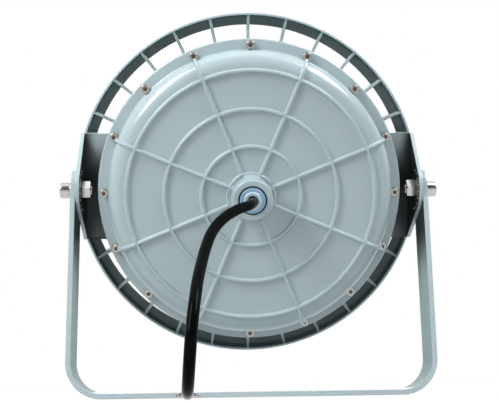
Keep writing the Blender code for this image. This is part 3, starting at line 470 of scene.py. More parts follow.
# Painted shade: the gland nut's foot in the hub's bore is painted near-black, where the gap round the collar
# lies in shade
GLAND_GAP_PAINTED_SHADE = coat("thread_shade", (0.014, 0.012, 0.007), 0.5, drift=0.3)
CABLE_BLACK = coat("cable_rubber", (0.002, 0.003, 0.003), 0.12, drift=0.4, size=0.0007, depth=0.000002,
                   Specular_IOR_Level=0.03)
SEAL_RUBBER = coat("seal_rubber", (0.03, 0.03, 0.03), 0.8, drift=0.3, size=0.0008, depth=0.00002)
SILICONE = coat("silicone", (0.75, 0.75, 0.72), 0.65, drift=0.1, size=0.0009)
BOARD_WHITE = coat("board_white", (0.82, 0.83, 0.83), 0.38, drift=0.05, size=0.0005, depth=0.000005)
PHOSPHOR = coat("phosphor", (0.86, 0.62, 0.10), 0.55, drift=0.1, size=0.0003)
POLISHED = metal("polished_aluminium", (0.85, 0.86, 0.87), 0.10, size=0.001, depth=0.000003)
DRIVER_CASE = coat("driver_case", (0.55, 0.57, 0.58), 0.5, drift=0.1, size=0.0012, depth=0.00002)
TERMINAL_PLASTIC = coat("terminal_plastic", (0.80, 0.79, 0.74), 0.5, drift=0.08)
COPPER = metal("copper", (0.78, 0.36, 0.20), 0.25)
LIVE = coat("live_insulation", (0.16, 0.07, 0.03), 0.45, drift=0.2)
NEUTRAL = coat("neutral_insulation", (0.03, 0.12, 0.45), 0.45, drift=0.2)
EARTH = coat("earth_insulation", (0.16, 0.40, 0.06), 0.45, drift=0.2)
GLASS = coat("toughened_glass", (0.93, 0.97, 0.96), 0.04, drift=0.01, depth=0.0,
             Transmission_Weight=1.0, IOR=1.5)
LENS = coat("lens_resin", (0.95, 0.96, 0.93), 0.06, drift=0.02, depth=0.0,
            Transmission_Weight=0.9, IOR=1.49)
# Painted light blended into the ears' painted shade, next to the drum
blended_paint(EAR_PAINTED_SHADE_AND_LIGHT, ear_light, (0.34, 0.41, 0.42))
# Painted shade on the arms' inner faces, darkest beside the ears
blended_paint(YOKE_INSIDE_PAINTED_SHADE, arm_shade, (0.030, 0.045, 0.048))
blended_paint(EARTH, earth_stripe, (0.75, 0.62, 0.03))


# Mesh helpers

def round_spot(centre, radius, angle):
    return centre[0] + radius * math.cos(angle), centre[1] + radius * math.sin(angle)


def filleted(corners, closed=True):
    """An outline with rounded corners. Each corner is (x, y, fillet radius)."""
    points = []
    count = len(corners)
    for index, (x, y, radius) in enumerate(corners):
        at_end = not closed and index in (0, count - 1)
        if radius == 0.0 or at_end:
            points.append((x, y))
            continue
        here = Vector((x, y))
        back = (Vector(corners[index - 1][:2]) - here).normalized()
        ahead = (Vector(corners[(index + 1) % count][:2]) - here).normalized()
        half = back.angle(ahead) / 2
        centre = here + (back + ahead).normalized() * (radius / math.sin(half))
        start = here + back * (radius / math.tan(half)) - centre
        end = here + ahead * (radius / math.tan(half)) - centre
        first = math.atan2(start.y, start.x)
        sweep = (math.atan2(end.y, end.x) - first + math.pi) % (2 * math.pi) - math.pi
        for step in range(FILLET_STEPS + 1):
            points.append(round_spot(centre, radius, first + sweep * step / FILLET_STEPS))
    return points


def arc(centre, radius, start, end, count):
    """Points on an arc, both ends included, angles in degrees."""
    return [
        round_spot(centre, radius, math.radians(start + (end - start) * step / count))
        for step in range(count + 1)
    ]


def even_angles(steps):
    """Angles of an even turn, the same at every radius."""
    angles = [2 * math.pi * step / steps for step in range(steps)]
    return lambda radius: angles


def faced_outwards(bm):
    bmesh.ops.recalc_face_normals(bm, faces=bm.faces[:])
    return bm


def skinned(bm, rings):
    """Faces from each ring of vertices to the next; corners that fall together count once."""
    for first, second in zip(rings, rings[1:]):
        for k in range(len(first)):
            after = (k + 1) % len(first)
            corners = list(dict.fromkeys((first[k], first[after], second[after], second[k])))
            if len(corners) > 2:
                bm.faces.new(corners)


def revolved(profile, angles_at):
    """A bmesh turned about Z from (radius, height) points, closed from last to first."""
    bm = bmesh.new()
    rings = []
    for radius, height in profile:
        angles = angles_at(radius)
        if radius < SHANK_RADIUS / 100:
            rings.append([bm.verts.new((0.0, 0.0, height))] * len(angles))
        else:
            rings.append([
                bm.verts.new((*round_spot((0.0, 0.0), radius, angle), height)) for angle in angles
            ])
    skinned(bm, rings + rings[:1])
    return faced_outwards(bm)


def new_object(name, data):
    made = bpy.data.objects.new(name, data)
    bpy.context.scene.collection.objects.link(made)
    return made


def scene_object(name, bm):
    """An object in the scene from a bmesh."""
    mesh = bpy.data.meshes.new(name)
    bm.to_mesh(mesh)
    bm.free()
    return new_object(name, mesh)


def opened(obj):
    """A bmesh of an object's mesh."""
    bm = bmesh.new()
    bm.from_mesh(obj.data)
    return bm


def put_back(bm, obj):
    bm.to_mesh(obj.data)
    bm.free()
    return obj


def turned(name, profile, steps=TURN_STEPS):
    return scene_object(name, revolved(profile, even_angles(steps)))


def evaluated_mesh(obj):
    """A plain mesh of the object with its modifiers, or of a curve."""
    graph = bpy.context.evaluated_depsgraph_get()
    return bpy.data.meshes.new_from_object(obj.evaluated_get(graph))


def settled(obj):
    """The same object with its modifiers turned into plain mesh."""
    mesh = evaluated_mesh(obj)
    obj.modifiers.clear()
    obj.data = mesh
    return obj


def combined(target, tool, operation):
    """Adds, cuts or intersects one object with another, which is then removed."""
    step = target.modifiers.new("combine", "BOOLEAN")
    step.operation = operation
    step.object = tool
    settled(target)
    bpy.data.objects.remove(tool, do_unlink=True)
    return target


def rounded_plate(name, loops, thickness, edge=EDGE):
    """A flat plate with rounded edges from outlines in XY; inner loops run the other way."""
    curve = bpy.data.curves.new(name, "CURVE")
    curve.dimensions = "2D"
    curve.fill_mode = "BOTH"
    curve.extrude = thickness / 2 - edge
    curve.bevel_depth = edge
    curve.bevel_resolution = 1
    curve.offset = -edge
    for loop in loops:
        spline = curve.splines.new("POLY")
        spline.points.add(len(loop) - 1)
        spline.use_cyclic_u = True
        for point, (x, y) in zip(spline.points, loop):
            point.co = (x, y, 0.0, 1.0)
    guide = new_object(name, curve)
    bm = bmesh.new()
    bm.from_mesh(evaluated_mesh(guide))
    bpy.data.objects.remove(guide, do_unlink=True)
    bmesh.ops.remove_doubles(bm, verts=bm.verts[:], dist=0.000001)
    return scene_object(name, faced_outwards(bm))


def bevelled(bm, edges, offset):
    bmesh.ops.bevel(bm, geom=edges, offset=offset, segments=2, profile=0.5, affect="EDGES")


def box(name, low, high, edge=0.0):
    """A box between two corners, its edges rounded."""
    bm = bmesh.new()
    bmesh.ops.create_cube(bm, size=1.0)
    bmesh.ops.scale(bm, vec=[b - a for a, b in zip(low, high)], verts=bm.verts[:])
    bmesh.ops.translate(bm, vec=[(a + b) / 2 for a, b in zip(low, high)], verts=bm.verts[:])
    if edge:
        bevelled(bm, bm.edges[:], edge)
    return scene_object(name, bm)


def prism(name, radius, low, high, sides):
    """An upright prism or cylinder about Z."""
    bm = bmesh.new()
    bmesh.ops.create_cone(bm, cap_ends=True, segments=sides, radius1=radius, radius2=radius,
                          depth=high - low)
    bmesh.ops.translate(bm, vec=(0.0, 0.0, (low + high) / 2), verts=bm.verts[:])
    return scene_object(name, bm)


def sliced(bm, spot, across):
    """A row of edges through the whole mesh at a spot, across a direction."""
    bmesh.ops.bisect_plane(bm, geom=bm.verts[:] + bm.edges[:] + bm.faces[:], dist=0.0000001,
                           plane_co=spot, plane_no=across)


def moved(obj, matrix):
    """Moves an object's mesh, so that the object itself stays at the origin."""
    obj.data.transform(matrix)
    if matrix.determinant() < 0.0:
        obj.data.flip_normals()
    return obj


def shifted(obj, x=0.0, y=0.0, z=0.0):
    return moved(obj, Matrix.Translation((x, y, z)))


def joined(target, *others):
    """One object from several meshes that belong to one piece."""
    bm = opened(target)
    for obj in others:
        bm.from_mesh(obj.data)
        bpy.data.objects.remove(obj, do_unlink=True)
    return put_back(bm, target)


def dressed(obj, *materials, index_of=None):
    """Gives a mesh its materials; index_of says which of them a face takes."""
    obj.data.materials.clear()
    for material in materials:
        obj.data.materials.append(material)
    if index_of:
        for face in obj.data.polygons:
            face.material_index = index_of(face)
    return obj


def piece(obj, body, slot, *nodes, angle=30.0):
    """Gives a finished mesh its shading and body, and hides the imported nodes it stands for. The slot is not
    used.
    """
    obj.data.shade_smooth()
    obj.data.set_sharp_from_angle(angle=math.radians(angle))
    weigh = obj.modifiers.new("even_shading", "WEIGHTED_NORMAL")
    weigh.keep_sharp = True
    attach(obj, body)
    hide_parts(*nodes)
    return obj


def lamp_piece(obj, slot, *nodes, angle=30.0):
    """A piece made in the lamp's frame, which tilts with it."""
    return piece(moved(obj, LAMP), "head", slot, *nodes, angle=angle)


# Geometry Nodes

def turn_about_z(tree, angle):
    upright = node(tree, "ShaderNodeCombineXYZ", {"Z": angle})
    return node(tree, "FunctionNodeEulerToRotation", {0: upright.outputs[0]}).outputs[0]


def own_place(tree):
    return axes(tree, node(tree, "GeometryNodeInputPosition").outputs[0])


def end_with(tree, given, out, shape):
    """Ends a tree with its material set on the shape."""
    painted = node(tree, "GeometryNodeSetMaterial", {"Geometry": shape, "Material": given["Finish"]})
    tree.links.new(painted.outputs[0], out.inputs[0])
    return tree


def shape_tree(name, *inputs):
    return new_tree(name, "GeometryNodeTree", [
        ("Geometry", "Geometry"), *inputs, ("Finish", "Material"),
    ], [("Geometry", "Geometry")])


def ring_array_tree():
    """One shape repeated round a circle, with a strip left free on both sides of X."""
    tree, given, out = shape_tree("ring_array", ("Count", "Int"), ("Radius", "Float"), ("Start", "Float"),
                                  ("Free Half Height", "Float"))
    spots = node(tree, "GeometryNodeMeshCircle", {"Vertices": given["Count"], "Radius": given["Radius"]})
    turned_spots = node(tree, "GeometryNodeTransform", {
        "Geometry": spots.outputs[0], "Rotation": turn_about_z(tree, given["Start"]),
    })
    place = own_place(tree)
    covered = node(tree, "FunctionNodeCompare", {
        0: calc(tree, "ABSOLUTE", place["Y"]), 1: given["Free Half Height"],
    }, data_type="FLOAT", operation="LESS_THAN")
    kept = node(tree, "GeometryNodeDeleteGeometry", {
        "Geometry": turned_spots.outputs[0], "Selection": covered.outputs[0],
    }, domain="POINT")
    outward = turn_about_z(tree, calc(tree, "ARCTAN2", place["Y"], place["X"]))
    copies = node(tree, "GeometryNodeInstanceOnPoints", {
        "Points": kept.outputs[0], "Instance": given["Geometry"], "Rotation": outward,
    })
    solid = node(tree, "GeometryNodeRealizeInstances", {"Geometry": copies.outputs[0]})
    return end_with(tree, given, out, solid.outputs[0])


def off_rings(tree, given, radius):
    """How far a place is from the nearest ring rib."""
    ways = [calc(tree, "ABSOLUTE", calc(tree, "SUBTRACT", radius, given[f"Ring {number}"]))
            for number in (1, 2, 3)]
    return calc(tree, "MINIMUM", calc(tree, "MINIMUM", ways[0], ways[1]), ways[2])


def off_radials(tree, given, radius, x, y):
    """How far a place is from the nearest radial rib."""
    half_sector = calc(tree, "DIVIDE", math.pi, given["Radial Count"])
    angle = calc(tree, "SUBTRACT", calc(tree, "ARCTAN2", y, x), given["First Angle"])
    aside = calc(tree, "WRAP", angle, half_sector, calc(tree, "MULTIPLY", half_sector, -1.0))
    return calc(tree, "ABSOLUTE", calc(tree, "MULTIPLY", radius, calc(tree, "SINE", aside)))


def rib_tree():
    """Raises ring ribs and radial ribs out of a smooth turned cover, along its normals."""
    tree, given, out = shape_tree("raised_ribs", *[(label, "Float") for label in (
        "Height", "Base", "Crest", "Ring 1", "Ring 2", "Ring 3", "Radial Count", "First Angle",
        "Fade Low", "Fade High",
    )])
    x, y, z = own_place(tree)
    radius = calc(tree, "SQRT", calc(tree, "ADD", calc(tree, "MULTIPLY", x, x), calc(tree, "MULTIPLY", y, y)))
    crest = calc(tree, "DIVIDE", given["Crest"], 2.0)
    base = calc(tree, "DIVIDE", given["Base"], 2.0)
    rings = ramp(tree, off_rings(tree, given, radius), crest, base, 0.0, given["Height"])
    radials = ramp(tree, off_radials(tree, given, radius, x, y), crest, base, 0.0, given["Height"])
    fade = ramp(tree, z, given["Fade Low"], given["Fade High"])
    height = calc(tree, "MAXIMUM", calc(tree, "MULTIPLY", radials, fade), rings)
    skin = node(tree, "GeometryNodeInputNamedAttribute", {"Name": "skin"}, data_type="FLOAT").outputs[0]
    lift = node(tree, "ShaderNodeVectorMath", {
        0: node(tree, "GeometryNodeInputNormal").outputs[0], "Scale": calc(tree, "MULTIPLY", height, skin),
    }, operation="SCALE")
    raised = node(tree, "GeometryNodeSetPosition", {
        "Geometry": given["Geometry"], "Offset": lift.outputs[0],
    })
    return end_with(tree, given, out, raised.outputs[0])


def with_tree(obj, tree, values):
    """Runs a Geometry Nodes tree on an object and keeps the result as its mesh."""
    step = obj.modifiers.new(tree.name, "NODES")
    step.node_group = tree
    for item in tree.interface.items_tree:
        if item.in_out == "INPUT" and item.name in values:
            step[item.identifier] = values[item.name]
    return settled(obj)


RING_ARRAY = ring_array_tree()
RAISED_RIBS = rib_tree()


def ring_of(obj, count, radius, material, free=0.0):
    return with_tree(obj, RING_ARRAY, {
        "Count": count, "Radius": radius, "Start": math.pi / 2, "Free Half Height": free,
        "Finish": material,
    })


# Camera, light and floor

def make_camera():
    forward = Vector((
        math.sin(CAMERA_YAW) * math.cos(CAMERA_PITCH),
        math.cos(CAMERA_YAW) * math.cos(CAMERA_PITCH),
        math.sin(CAMERA_PITCH),
    ))
    right = forward.cross(UP).normalized()
    up = right.cross(forward)
    turn = Matrix.Rotation(CAMERA_ROLL, 3, -forward)
    right.rotate(turn)
    up.rotate(turn)
    lens = bpy.data.cameras.new("photo_camera")
    lens.sensor_width = SENSOR
    lens.lens = FOCAL_PIXELS / IMAGE_WIDTH * SENSOR
    lens.clip_start = 0.01
    camera = new_object("photo_camera", lens)
    view = Matrix((right, up, -forward)).transposed().to_4x4()
    camera.matrix_world = Matrix.Translation(CAMERA_PLACE) @ view
    bpy.context.scene.camera = camera


def softbox(name, place, size, power):
    lamp = bpy.data.lights.new(name, "AREA")
    lamp.shape = "RECTANGLE"
    lamp.size, lamp.size_y = size
    lamp.energy = power
    stand = new_object(name, lamp)
    stand.location = place
    stand.rotation_euler = (Vector(LIGHT_AIM) - Vector(place)).to_track_quat("-Z", "Y").to_euler()


def studio_white(tree, place, sweep, room):
    """How white each ray finds the studio, from 0 to 1, and the Light Path's sockets.

    Camera and transmitted rays find it all white. Glossy rays find the dark room first along Y,
    and then the white sweep.
    """
    path = node(tree, "ShaderNodeLightPath").outputs
    glossy = calc(tree, "MULTIPLY", path["Is Glossy Ray"], ramp(tree, place["Y"], *sweep, 1.0, room))
    seen = calc(tree, "MAXIMUM", path["Is Camera Ray"], path["Is Transmission Ray"])
    return calc(tree, "MAXIMUM", glossy, seen), path


def make_world(ambient, room):
    """A white sweep behind the lamp and a darker room in front of it, behind the camera."""
    world = bpy.data.worlds.new("white_studio")
    world.use_nodes = True
    bpy.context.scene.world = world
    tree = world.node_tree
    way = axes(tree, node(tree, "ShaderNodeTexCoord").outputs["Generated"])
    white, path = studio_white(tree, way, WORLD_SWEEP, room)
    lit = calc(tree, "MULTIPLY", calc(tree, "SUBTRACT", 1.0, path["Is Glossy Ray"]), ambient)
    background = tree.nodes["Background"]
    background.inputs["Color"].default_value = (1.0, 1.0, 1.0, 1.0)
    tree.links.new(calc(tree, "MAXIMUM", white, lit), background.inputs["Strength"])


def make_floor(half, glow, room):
    """A white sweep that keeps the shadow: part glow, part lit surface. Its front end lies in the room."""
    bm = bmesh.new()
    bmesh.ops.create_grid(bm, x_segments=1, y_segments=1, size=half)
    floor = shifted(scene_object("studio_floor", bm), z=-GAP)
    made, tree, shader = new_material("studio_white")
    shader.inputs["Base Color"].default_value = (FLOOR_GREY, FLOOR_GREY, FLOOR_GREY, 1.0)
    shader.inputs["Roughness"].default_value = 0.9
    white, _ = studio_white(tree, axes(tree, object_place(tree)), FLOOR_SWEEP, room)
    shine = node(tree, "ShaderNodeEmission", {"Strength": FLOOR_GLOW})
    mix = node(tree, "ShaderNodeMixShader", {
        0: calc(tree, "MULTIPLY", white, glow), 1: shader.outputs[0], 2: shine.outputs[0],
    })
    tree.links.new(mix.outputs[0], tree.nodes["Material Output"].inputs[0])
    dressed(floor, made)


bpy.context.scene.view_settings.view_transform = "Standard"
make_camera()
make_world(ambient=0.27, room=0.10)
make_floor(half=6.0, glow=0.94, room=0.15)
softbox("key_softbox", (-0.95, -0.80, 0.95), (0.4, 0.9), 19.0)
softbox("fill_softbox", (0.80, -0.55, 1.15), (0.5, 0.6), 13.0)
softbox("top_softbox", (0.0, -0.6, 1.9), (1.2, 0.8), 3.5)
softbox("far_softbox", (0.4, 2.2, 1.2), (1.8, 1.4), 12.0)


# Cable and its cores

def smooth_path(points, count):
    """Points on a centripetal curve through a list of points, count to each span."""
    padded = [2 * points[0] - points[1]] + points + [2 * points[-1] - points[-2]]
    path = []
    for p0, p1, p2, p3 in zip(padded, padded[1:], padded[2:], padded[3:]):
        t1 = (p1 - p0).length ** 0.5
        t2 = t1 + (p2 - p1).length ** 0.5
        t3 = t2 + (p3 - p2).length ** 0.5
        for step in range(count):
            t = t1 + (t2 - t1) * step / count
            a1 = p0.lerp(p1, t / t1)
            a2 = p1.lerp(p2, (t - t1) / (t2 - t1))
            a3 = p2.lerp(p3, (t - t2) / (t3 - t2))
            b1 = a1.lerp(a2, t / t2)
            b2 = a2.lerp(a3, (t - t1) / (t3 - t1))
            path.append(b1.lerp(b2, (t - t1) / (t2 - t1)))
    path.append(points[-1])
    return path


def tube(name, path, radius, sides):
    """A round closed tube along a path, its section carried on without twist."""
    bm = bmesh.new()
    rings = []
    ahead = (path[1] - path[0]).normalized()
    side = ahead.orthogonal().normalized()
    for index, spot in enumerate(path):
        way = (path[min(index + 1, len(path) - 1)] - path[max(index - 1, 0)]).normalized()
        side.rotate(ahead.rotation_difference(way))
        ahead = way
        across = ahead.cross(side)
        ring = []
        for step in range(sides):
            angle = 2 * math.pi * step / sides
            ring.append(bm.verts.new(spot + radius * (side * math.cos(angle) + across * math.sin(angle))))
        rings.append(ring)
    skinned(bm, rings)
    bm.faces.new(rings[0])
    bm.faces.new(rings[-1])
    return scene_object(name, faced_outwards(bm))


def sheath_path():
    """Straight out of the gland, then smooth through the points of the route."""
    exit_point = LAMP @ Vector((0.0, 0.0, GLAND_MOUTH + GAP))
    points = [LAMP @ Vector((0.0, 0.0, GLAND_MOUTH + GAP + CABLE_STRAIGHT))]
    for across, behind, share in CABLE_ROUTE:
        height = CABLE_REST + share * (exit_point.z - CABLE_REST)
        points.append(Vector((across, exit_point.y - behind, height)))
    return [exit_point] + smooth_path(points, SPAN_STEPS)


def cable_sheath(path):
    cable = dressed(tube("cable_sheath", path, CABLE_RADIUS, 32), CABLE_BLACK)
    cable.data.shade_smooth()
    cable.data.set_sharp_from_angle(angle=math.radians(50.0))
    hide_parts("power_cable")
    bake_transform(cable)
    return cable


def core_path(end, way, aside, fan):
    """One core's way out of the sheath: it spreads to its own side and sinks to the floor."""
    path = []
    for step in range(CORE_STEPS + 1):
        share = step / CORE_STEPS
        sideways = fan * (2 * CORE_RADIUS + GAP + CORE_SPREAD * share * share)
        drop = UP * ((CABLE_RADIUS - CORE_RADIUS) * share * share)
        path.append(end + way * (GAP + CORE_LENGTH * share) + aside * sideways - drop)
    return path


def bare_strands(path, aside):
    """Seven twisted strands along the stripped end of a core."""
    radius = CORE_RADIUS / 4
    strands = []
    for number in range(7):
        spread = 0.0 if number == 0 else 2.05 * radius
        strand = []
        for index, spot in enumerate(path):
            twist = math.radians(60.0 * number) + index * math.radians(25.0)
            strand.append(spot + spread * (aside * math.cos(twist) + UP * math.sin(twist)))
        strands.append(tube("strand", strand, radius, 6))
    return joined(*strands)


def cable_and_cores():
    path = sheath_path()
    cable = cable_sheath(path)
    way = (path[-1] - path[-2]).normalized()
    aside = way.cross(UP).normalized()
    cut = round(CORE_STEPS * (1 - CORE_BARE / CORE_LENGTH))
    for fan, label, material in ((-1, "live", LIVE), (0, "earth", EARTH), (1, "neutral", NEUTRAL)):
        core = core_path(path[-1], way, aside, fan)
        sleeve = dressed(tube(label + "_core", core[:cut + 1], CORE_RADIUS, 16), material)
        bare = dressed(bare_strands(core[cut - 1:], aside), COPPER)
        bare.name = label + "_core_strands"
        for part in (sleeve, bare):
            piece(part, "yoke", "core_" + label, "core_" + label, angle=50.0)


cable_and_cores()


# Rear cover

def rib_aligned(radius):
    """Angles of the cover's columns: close lines run along each radial rib, the rest are even."""
    half_sector = math.pi / RADIAL_RIBS
    reach = max(radius, HUB_BORE)
    last_line = math.asin(RIB_LINES[-1] / reach)
    step = 2 * (half_sector - last_line) / COLUMNS_BETWEEN
    angles = []
    for rib in range(RADIAL_RIBS):
        middle = math.pi / 2 + half_sector + 2 * half_sector * rib
        angles += [middle + math.asin(offset / reach) for offset in RIB_LINES]
        angles += [middle + last_line + step * k for k in range(1, COLUMNS_BETWEEN)]
    return angles


def hub_section():
    return filleted([
        (PASSAGE, BORE_FLOOR, 0.0),
        (HUB_BORE, BORE_FLOOR, 0.0),
        (HUB_BORE, HUB_MOUTH, 0.0008),
        (HUB_RADIUS - 0.0004, HUB_MOUTH, 0.0018),
        (HUB_RADIUS + 0.0008, FOOT_TOP, 0.0012),
        (HUB_FOOT_RADIUS, FOOT_TOP, 0.0010),
        (HUB_FOOT_RADIUS + 0.0004, FACE, 0.0006),
        (FOOT_EDGE, FACE, 0.0),
    ], closed=False)


def even_steps(first, last):
    """Even values from first to last, about a row's pitch apart."""
    count = max(1, round((last - first) / ROW_PITCH))
    return [first + (last - first) * k / count for k in range(count + 1)]


def face_radii():
    """Radii of the rows on the cover's face: close ones over each ring rib, the rest even."""
    radii = []
    previous = FOOT_EDGE
    for ring in RING_RIBS:
        lines = [ring + offset for offset in RIB_LINES]
        radii += even_steps(previous, lines[0])[1:-1] + lines
        previous = lines[-1]
    return radii + even_steps(previous, DOME_RADIUS - SHOULDER)[1:]


def flange_section():
    """The dome's foot, the bolting flange, the spigot and the inside of the cover."""
    spigot = COVER_UNDER - COVER_SPIGOT
    inside = DOME_RADIUS - COVER_WALL
    return filleted([
        (DOME_RADIUS, WALL_TOP, 0.0),
        (DOME_RADIUS, COVER_TOP, 0.0022),
        (COVER_RADIUS, COVER_TOP, 0.0014),
        (COVER_RADIUS, COVER_UNDER, 0.0005),
        (SPIGOT_RADIUS, COVER_UNDER, 0.0),
        (SPIGOT_RADIUS, spigot, 0.0008),
        (inside, spigot, 0.0008),
        (inside, FACE - COVER_WALL, SHOULDER - COVER_WALL),
        (PASSAGE, FACE - COVER_WALL, 0.0),
    ], closed=False)


def cover_rows():
    """Rows of the cover's section, each (radius, height, 1 where ribs may rise)."""
    rows = [(*row, float(row[0] >= HUB_FOOT_RADIUS + 0.0003)) for row in hub_section()]
    rows += [(radius, FACE, 1.0) for radius in face_radii()]
    shoulder = arc((DOME_RADIUS - SHOULDER, FACE - SHOULDER), SHOULDER, 90.0, 0.0, 16)
    rows += [(*row, 1.0) for row in shoulder[1:]]
    rows += [(DOME_RADIUS, WALL_TOP - WALL_HEIGHT * k / WALL_ROWS, 1.0) for k in range(WALL_ROWS)]
    return rows + [(*row, 0.0) for row in flange_section()[1:]]


def foot_rim(first, last):
    """A raised rim along the edge of the hub's foot, between two angles in degrees."""
    outer = HUB_FOOT_RADIUS - GAP
    rim = box("foot_rim", (outer - FOOT_RIM, 0.0, FOOT_TOP - GAP), (outer, 1.0, FOOT_TOP + FOOT_RIM_HEIGHT))
    bm = opened(rim)
    for step in range(1, RIM_STEPS):
        sliced(bm, (0.0, step / RIM_STEPS, 0.0), (0.0, 1.0, 0.0))
    for vert in bm.verts:
        radius, share, height = vert.co
        vert.co = (*round_spot((0.0, 0.0), radius, math.radians(first + (last - first) * share)), height)
    bevelled(bm, [edge for edge in bm.edges if edge.calc_face_angle() > math.radians(60.0)],
             FOOT_RIM_HEIGHT / 3)
    return put_back(bm, rim)


def foot_line(angle):
    """A fine raised line across the hub's foot, at an angle in degrees."""
    line = box("foot_line", (HUB_RADIUS, -FOOT_LINE / 2, FOOT_TOP - GAP),
               (HUB_FOOT_RADIUS, FOOT_LINE / 2, FOOT_TOP + FOOT_LINE_HEIGHT), FOOT_LINE_HEIGHT / 3)
    return moved(line, Matrix.Rotation(math.radians(angle), 4, "Z"))


def rear_cover():
    rows = cover_rows()
    cover = scene_object("rear_cover_casting", revolved([row[:2] for row in rows], rib_aligned))
    skin = cover.data.attributes.new("skin", "FLOAT", "POINT")
    columns = len(rib_aligned(DOME_RADIUS))
    skin.data.foreach_set("value", [row[2] for row in rows for _ in range(columns)])
    with_tree(cover, RAISED_RIBS, {
        "Height": RIB_HEIGHT, "Base": RIB_BASE, "Crest": RIB_CREST,
        "Ring 1": RING_RIBS[0], "Ring 2": RING_RIBS[1], "Ring 3": RING_RIBS[2],
        "Radial Count": float(RADIAL_RIBS), "First Angle": math.pi / 2 + math.pi / RADIAL_RIBS,
        "Fade Low": RIBS_GONE, "Fade High": FACE - SHOULDER, "Finish": COVER_PAINT,
    })
    joined(cover, *[foot_rim(*span) for span in FOOT_RIMS], *[foot_line(angle) for angle in FOOT_LINES])
    lamp_piece(dressed(cover, COVER_PAINT), "cover_paint", "rear_cover", angle=50.0)


rear_cover()


# Housing

def drum():
    lip_front = JOINT_FACE - REAR_LIP_DEPTH
    body = turned("housing_drum", filleted([
        (0.0, MID_REAR, 0.0),
        (CHAMBER_RADIUS, MID_REAR, 0.002),
        (CHAMBER_RADIUS, JOINT_FACE, 0.0005),
        (DRUM_RADIUS + REAR_LIP, JOINT_FACE, 0.0005),
        (DRUM_RADIUS + REAR_LIP, lip_front, 0.0008),
        (DRUM_RADIUS, lip_front - REAR_LIP, 0.001),
        (DRUM_RADIUS, FRONT_FACE, 0.0004),
        (LED_CHAMBER_RADIUS, FRONT_FACE, 0.0004),
        (LED_CHAMBER_RADIUS, MID_FRONT, 0.002),
        (0.0, MID_FRONT, 0.0),
    ], closed=False))
    lamp_piece(dressed(body, HOUSING_PAINT), "grey_paint", "lamp_housing")


def guard_ring():
    """The L-shaped ring, flat at both sides where the ears stand; its inner band takes painted shade."""
    flange_rear = RING_FRONT + RING_FLANGE
    ring = turned("guard_ring", filleted([
        (RING_RADIUS - RING_LIP, RING_RIM, RING_FILLET),
        (RING_RADIUS, RING_RIM, 0.0009),
        (RING_RADIUS, RING_FRONT, 0.0012),
        (RING_INNER, RING_FRONT, 0.0006),
        (RING_INNER, flange_rear, 0.0006),
        (RING_RADIUS - RING_LIP, flange_rear + RING_FLANGE / 2, 0.0025),
    ]), 256)
    for side in (-1, 1):
        near, far = sorted((side * (EAR_OUTER - GAP), side * (RING_RADIUS + 0.01)))
        flat = box("ring_flat", (near, -RING_RADIUS, RING_FRONT - 0.01), (far, RING_RADIUS, RING_RIM + 0.01))
        combined(ring, flat, "DIFFERENCE")

    # Faces of the ring's inner band, which take the painted shade
    def inside(face):
        place = face.center
        deep = RING_FRONT + RING_FLANGE / 2 < place.z < RING_RIM - RING_FILLET
        return int(deep and place.xy.length < RING_RADIUS - RING_LIP / 2
                   and place.xy.dot(face.normal.xy) <= 0.0)

    dressed(ring, HOUSING_PAINT, RING_PAINTED_SHADE, index_of=inside)
    lamp_piece(ring, "grey_paint", "lamp_housing")


def web_outline():
    """Side view of one web: its rear edge falls in a curve, then crosses the slot."""
    rear = RING_RIM - WEB_SINK
    top = RING_RIM - EDGE
    reach = RING_RADIUS - RING_LIP - RING_INNER
    curve = []
    for step in range(WEB_STEPS + 1):
        angle = math.pi / 2 * step / WEB_STEPS
        curve.append((RING_INNER + reach * math.cos(angle), top - (top - rear) * math.sin(angle)))
    tip = RING_RADIUS - RING_LIP / 2
    return [
        (DRUM_RADIUS - OVERLAP, FRONT_FACE + SETBACK),
        (RING_INNER, FRONT_FACE + SETBACK + RING_FLANGE),
        (tip, RING_FRONT + SETBACK),
        (tip, top),
    ] + curve + [(DRUM_RADIUS - OVERLAP, rear)]


def radial_webs():
    web = rounded_plate("radial_webs", [web_outline()], WEB_THIN, WEB_THIN / 4)
    for vert in web.data.vertices:
        share = (RING_RIM - vert.co.y) / (RING_RIM - FRONT_FACE)
        vert.co.z *= 1.0 + (WEB_THICK / WEB_THIN - 1.0) * share
    moved(web, Matrix.Rotation(math.pi / 2, 4, "X"))
    shifted(web, x=-RING_INNER)
    # The webs take the paler paint, which is painted light
    ring_of(web, WEB_COUNT, RING_INNER, WEB_PAINTED_LIGHT, free=EAR_HALF_HEIGHT * RING_INNER / DRUM_RADIUS)
    lamp_piece(dressed(web, WEB_PAINTED_LIGHT), "grey_paint", "lamp_housing")


def ear_outline():
    """A straight base, two corners, and a round nose about the pivot that both flanks touch."""
    corner = Vector((EAR_HALF_HEIGHT, EAR_FLOOR))
    touch = math.degrees(math.atan2(corner.y, corner.x) + math.acos(EAR_NOSE / corner.length))
    nose = arc((0.0, 0.0), EAR_NOSE, touch, 180.0 - touch, 40)
    return [(-EAR_HALF_HEIGHT, EAR_BASE), (EAR_HALF_HEIGHT, EAR_BASE), tuple(corner), *nose,
            (-EAR_HALF_HEIGHT, EAR_FLOOR)]


